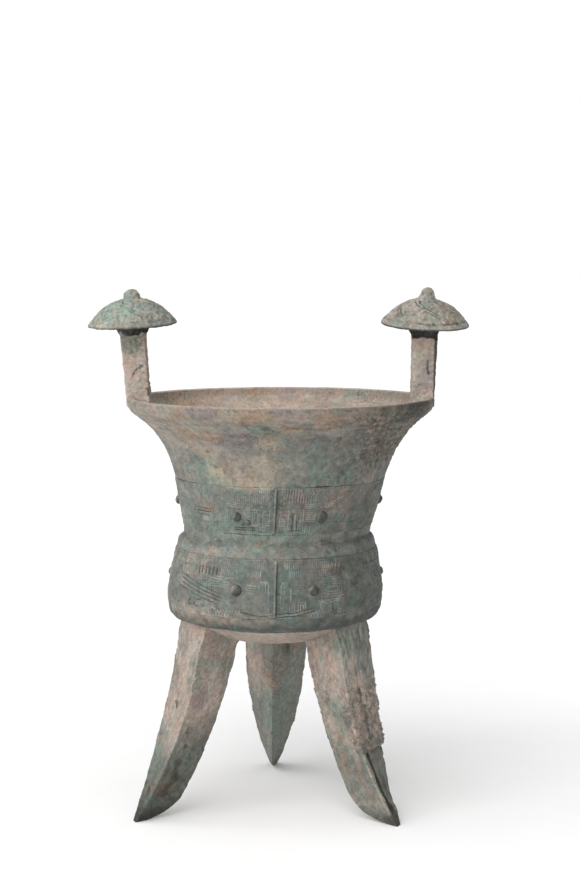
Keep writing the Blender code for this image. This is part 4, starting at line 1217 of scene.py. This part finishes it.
# %% Caps
CAP_RADIUS, CAP_HEIGHT, CAP_ROUNDNESS, CAP_EDGE = 0.0275, 0.0155, 2.3, 0.0012
COLLAR_RADIUS, FINIAL_RADIUS = 0.0126, 0.0054
CAPS = {"left": (-2.4, 4.0, 0.0053, 0.0056, 2.2), "right": (2.2, 6.5, 0.0031, 0.0068, 7)}
WHORLS, WHORL_TURN, WHORL_HALF, WHORL_DEPTH = 5, 95, 0.00035, 0.00045


def cap_height(radius):
    """Height of the dome above the cap's underside."""
    return CAP_EDGE + CAP_HEIGHT * (1 - (np.asarray(radius, float) / CAP_RADIUS) ** CAP_ROUNDNESS)


def cap_section(knob_top, knob_height, squareness):
    """Half section of a cap, from the top of its knob to the middle of its collar's foot."""
    foot = float(cap_height(FINIAL_RADIUS))
    whole = CAP_EDGE + CAP_HEIGHT + knob_height - foot
    up = 1 - np.linspace(0, 0.97, 16) ** 2
    width = (FINIAL_RADIUS - (FINIAL_RADIUS - knob_top) * up) * np.sqrt(1 - up ** squareness)
    knob = np.c_[width, foot + whole * up]
    knob[-1, 0] = FINIAL_RADIUS + 0.0002
    radii = np.linspace(FINIAL_RADIUS + 0.0006, CAP_RADIUS - 0.0002, 46)
    dome = np.c_[radii, cap_height(radii)]
    rim = [(CAP_RADIUS, CAP_EDGE * 0.75), (CAP_RADIUS - 0.0001, CAP_EDGE * 0.35), (CAP_RADIUS - 0.0007, 0.0)]
    under = np.c_[np.linspace(CAP_RADIUS - 0.0018, COLLAR_RADIUS, 12), np.zeros(12)]
    collar = [(COLLAR_RADIUS - 0.0010, -0.0007), (COLLAR_RADIUS - 0.0018, -0.0016), (COLLAR_RADIUS - 0.0026, -0.0028),
              (COLLAR_RADIUS - 0.0033, -0.0042), (POST_TOP_WIDTH / 2 + 0.0006, -COLLAR_HEIGHT), (0, -COLLAR_HEIGHT)]
    return np.vstack([knob, dome, rim, under, collar])


print("points in a cap's half section:", len(cap_section(0.0031, 0.0068, 7)))

# %% [markdown]
# The lines are pressed in while the cap still stands upright on the axis, and it is corroded there too. Then it is
# rolled and nodded a few degrees and set on its post. The left cap is the paler and rougher one.

# %% Whorls
def whorls(where, radius):
    """How deep the cut lines are at each place on an upright cap, from 0 to 1."""
    angle = np.degrees(np.arctan2(where[:, 1], where[:, 0]))
    first, last = FINIAL_RADIUS + 0.0014, CAP_RADIUS - 0.0019
    share = (radius - first) / (last - first)
    gap = (angle - WHORL_TURN * share) % (360 / WHORLS)
    gap = np.minimum(gap, 360 / WHORLS - gap) * np.radians(1) * radius
    gap *= math.cos(math.atan2(math.radians(WHORL_TURN) * 0.016, last - first))
    on_dome = (where[:, 2] > CAP_EDGE * 0.9) * smooth(share, -0.02, 0.06) * faded(share, 0.97, 1.05)
    lines = faded(np.abs(gap - WHORL_HALF * 2.6), WHORL_HALF * 0.4, WHORL_HALF * 1.6) * on_dome
    border = faded(np.abs(radius - CAP_RADIUS + 0.0024), 0.0002, 0.0008) * (where[:, 2] > CAP_EDGE)
    return np.maximum(lines, 0.8 * border) * np.clip(0.75 + lumps(where, 0.006, 64, 2), 0.2, 1.1)


print("lines on a cap:", WHORLS, "deep in mm:", round(1000 * WHORL_DEPTH, 2))

# %% [markdown]
# A cap's colours follow its forms: dark in the lines, at the edge, and on the right cap's knob, with painted shadow
# under the rim. The left cap has a bright spot at its front.

# %% Caps on the posts
def cap(name):
    """One cap, turned, whorled, tilted and set on its post, with its heights and its underside, which gets painted
    shadow.
    """
    sign, outward = POSTS[name]
    roll_angle, nod, *knob = CAPS[name]
    piece = turned("cap_" + name, cap_section(*knob), 320)
    where = places(piece)
    radius = np.hypot(where[:, 0], where[:, 1])
    groove = whorls(where, radius)
    where[:, 2] -= groove * WHORL_DEPTH
    put(piece, where)
    # The underside under the rim, darkened with painted shadow.
    below = (where[:, 2] < CAP_EDGE * 0.3) & (radius < CAP_RADIUS - 0.0003)
    rim = smooth(radius, CAP_RADIUS - 0.0020, CAP_RADIUS - 0.0012)
    edge = (where[:, 2] < CAP_EDGE * 0.8) & (where[:, 2] > -0.0002)
    knob_top = (radius < FINIAL_RADIUS + 0.0003) & (where[:, 2] > CAP_EDGE)
    inner = 1 - smooth(radius, CAP_RADIUS - 0.002, CAP_RADIUS) * (0.5 if name == "left" else 1)
    corroded(piece, 0.009, 0.0005, 60 + len(name), inner)
    fine = corroded(piece, 0.0022, 0.00060 if name == "left" else 0.00030, 65 + len(name), inner)
    alone(piece)
    place = Vector((sign * (POST_RADIUS + outward), 0, RIM_HEIGHT + POST_RISE + COLLAR_HEIGHT))
    turn = Matrix.Rotation(math.radians(roll_angle), 4, "Y") @ Matrix.Rotation(math.radians(nod), 4, "X")
    piece.matrix_world = Matrix.Translation(place) @ turn
    bpy.ops.object.transform_apply(location=True, rotation=True, scale=True)
    leaned(piece)
    if name == "left":
        bright = np.exp(-(((places(piece) - (-0.0987, -0.0126, 0.3153)) / (0.009, 0.012, 0.005)) ** 2).sum(axis=1))
        return piece, 0.83 - 0.4 * groove + 0.55 * fine - 0.7 * below - 0.16 * rim - 0.35 * edge + 0.14 * bright, below
    return piece, 0.67 - 0.6 * groove + 0.4 * fine - 0.6 * below + 0.06 * rim - 0.6 * edge - 0.16 * knob_top, below


for name in CAPS:
    piece, level, below = cap(name)
    crust, cream, material = {"left": (0.3, 0.05, grey_green), "right": (0.4, 0.15, earthy)}[name]
    # Painted shadow: the cap's underside is made nearly black.
    finished(piece, material, {"crust": crust, "green": 0.28, "cream": cream, "dark": 1.2 * below}, level)

# %% [markdown]
# The handle is a flat strap, bent to a bow over the rear leg and rooted in the wall at both ends. It isn't seen in
# the photograph, so it is kept plain.

# %% Handle
HANDLE_WIDTH, HANDLE_THICKNESS, HANDLE_REACH, HANDLE_LOW, HANDLE_HIGH = 0.0220, 0.0042, 0.0925, 0.1467, 0.2047
HANDLE_FACES, HANDLE_RINGS = (24, 6, 24, 6), 120


def handle():
    """The strap as a roll, pressed flat and laid along its bow."""
    piece, ring, column = roll("handle", sum(HANDLE_FACES), HANDLE_RINGS, 0.1)
    root = min(float(plain_radius(HANDLE_LOW)), float(plain_radius(HANDLE_HIGH))) - WALL / 2
    reach = HANDLE_REACH - HANDLE_THICKNESS / 2 - root
    turn = np.pi * np.linspace(0, 1, HANDLE_RINGS + 1)
    line = np.c_[root + reach * np.sin(turn) ** 0.6, (HANDLE_LOW + HANDLE_HIGH) / 2
                 - np.cos(turn) * (HANDLE_HIGH - HANDLE_LOW) / 2]
    line = spaced(line, 0.0001)
    line = line[np.linspace(0, len(line) - 1, HANDLE_RINGS + 1).astype(int)]
    run = np.gradient(line, axis=0)
    run /= np.hypot(run[:, 0], run[:, 1])[:, None]
    sections = []
    for (y, z), (dy, dz) in zip(line, run):
        middle = np.array([0, y, z])
        thick = np.array([0, dz, -dy]) * HANDLE_THICKNESS / 2
        wide = np.array([HANDLE_WIDTH / 2, 0, 0])
        corners = [middle - wide + thick, middle + wide + thick, middle + wide - thick, middle - wide - thick]
        sections.append(worn_polygon(corners, HANDLE_FACES))
    put(piece, np.array(sections)[ring, column])
    alone(piece)
    bpy.ops.object.mode_set(mode="EDIT")
    bpy.ops.mesh.select_all(action="SELECT")
    bpy.ops.mesh.normals_make_consistent(inside=False)
    bpy.ops.object.mode_set(mode="OBJECT")
    corroded(piece, 0.006, 0.0003, 70)
    leaned(piece)
    return piece


finished(handle(), grey_green, {"crust": 0.45, "green": 0.25})
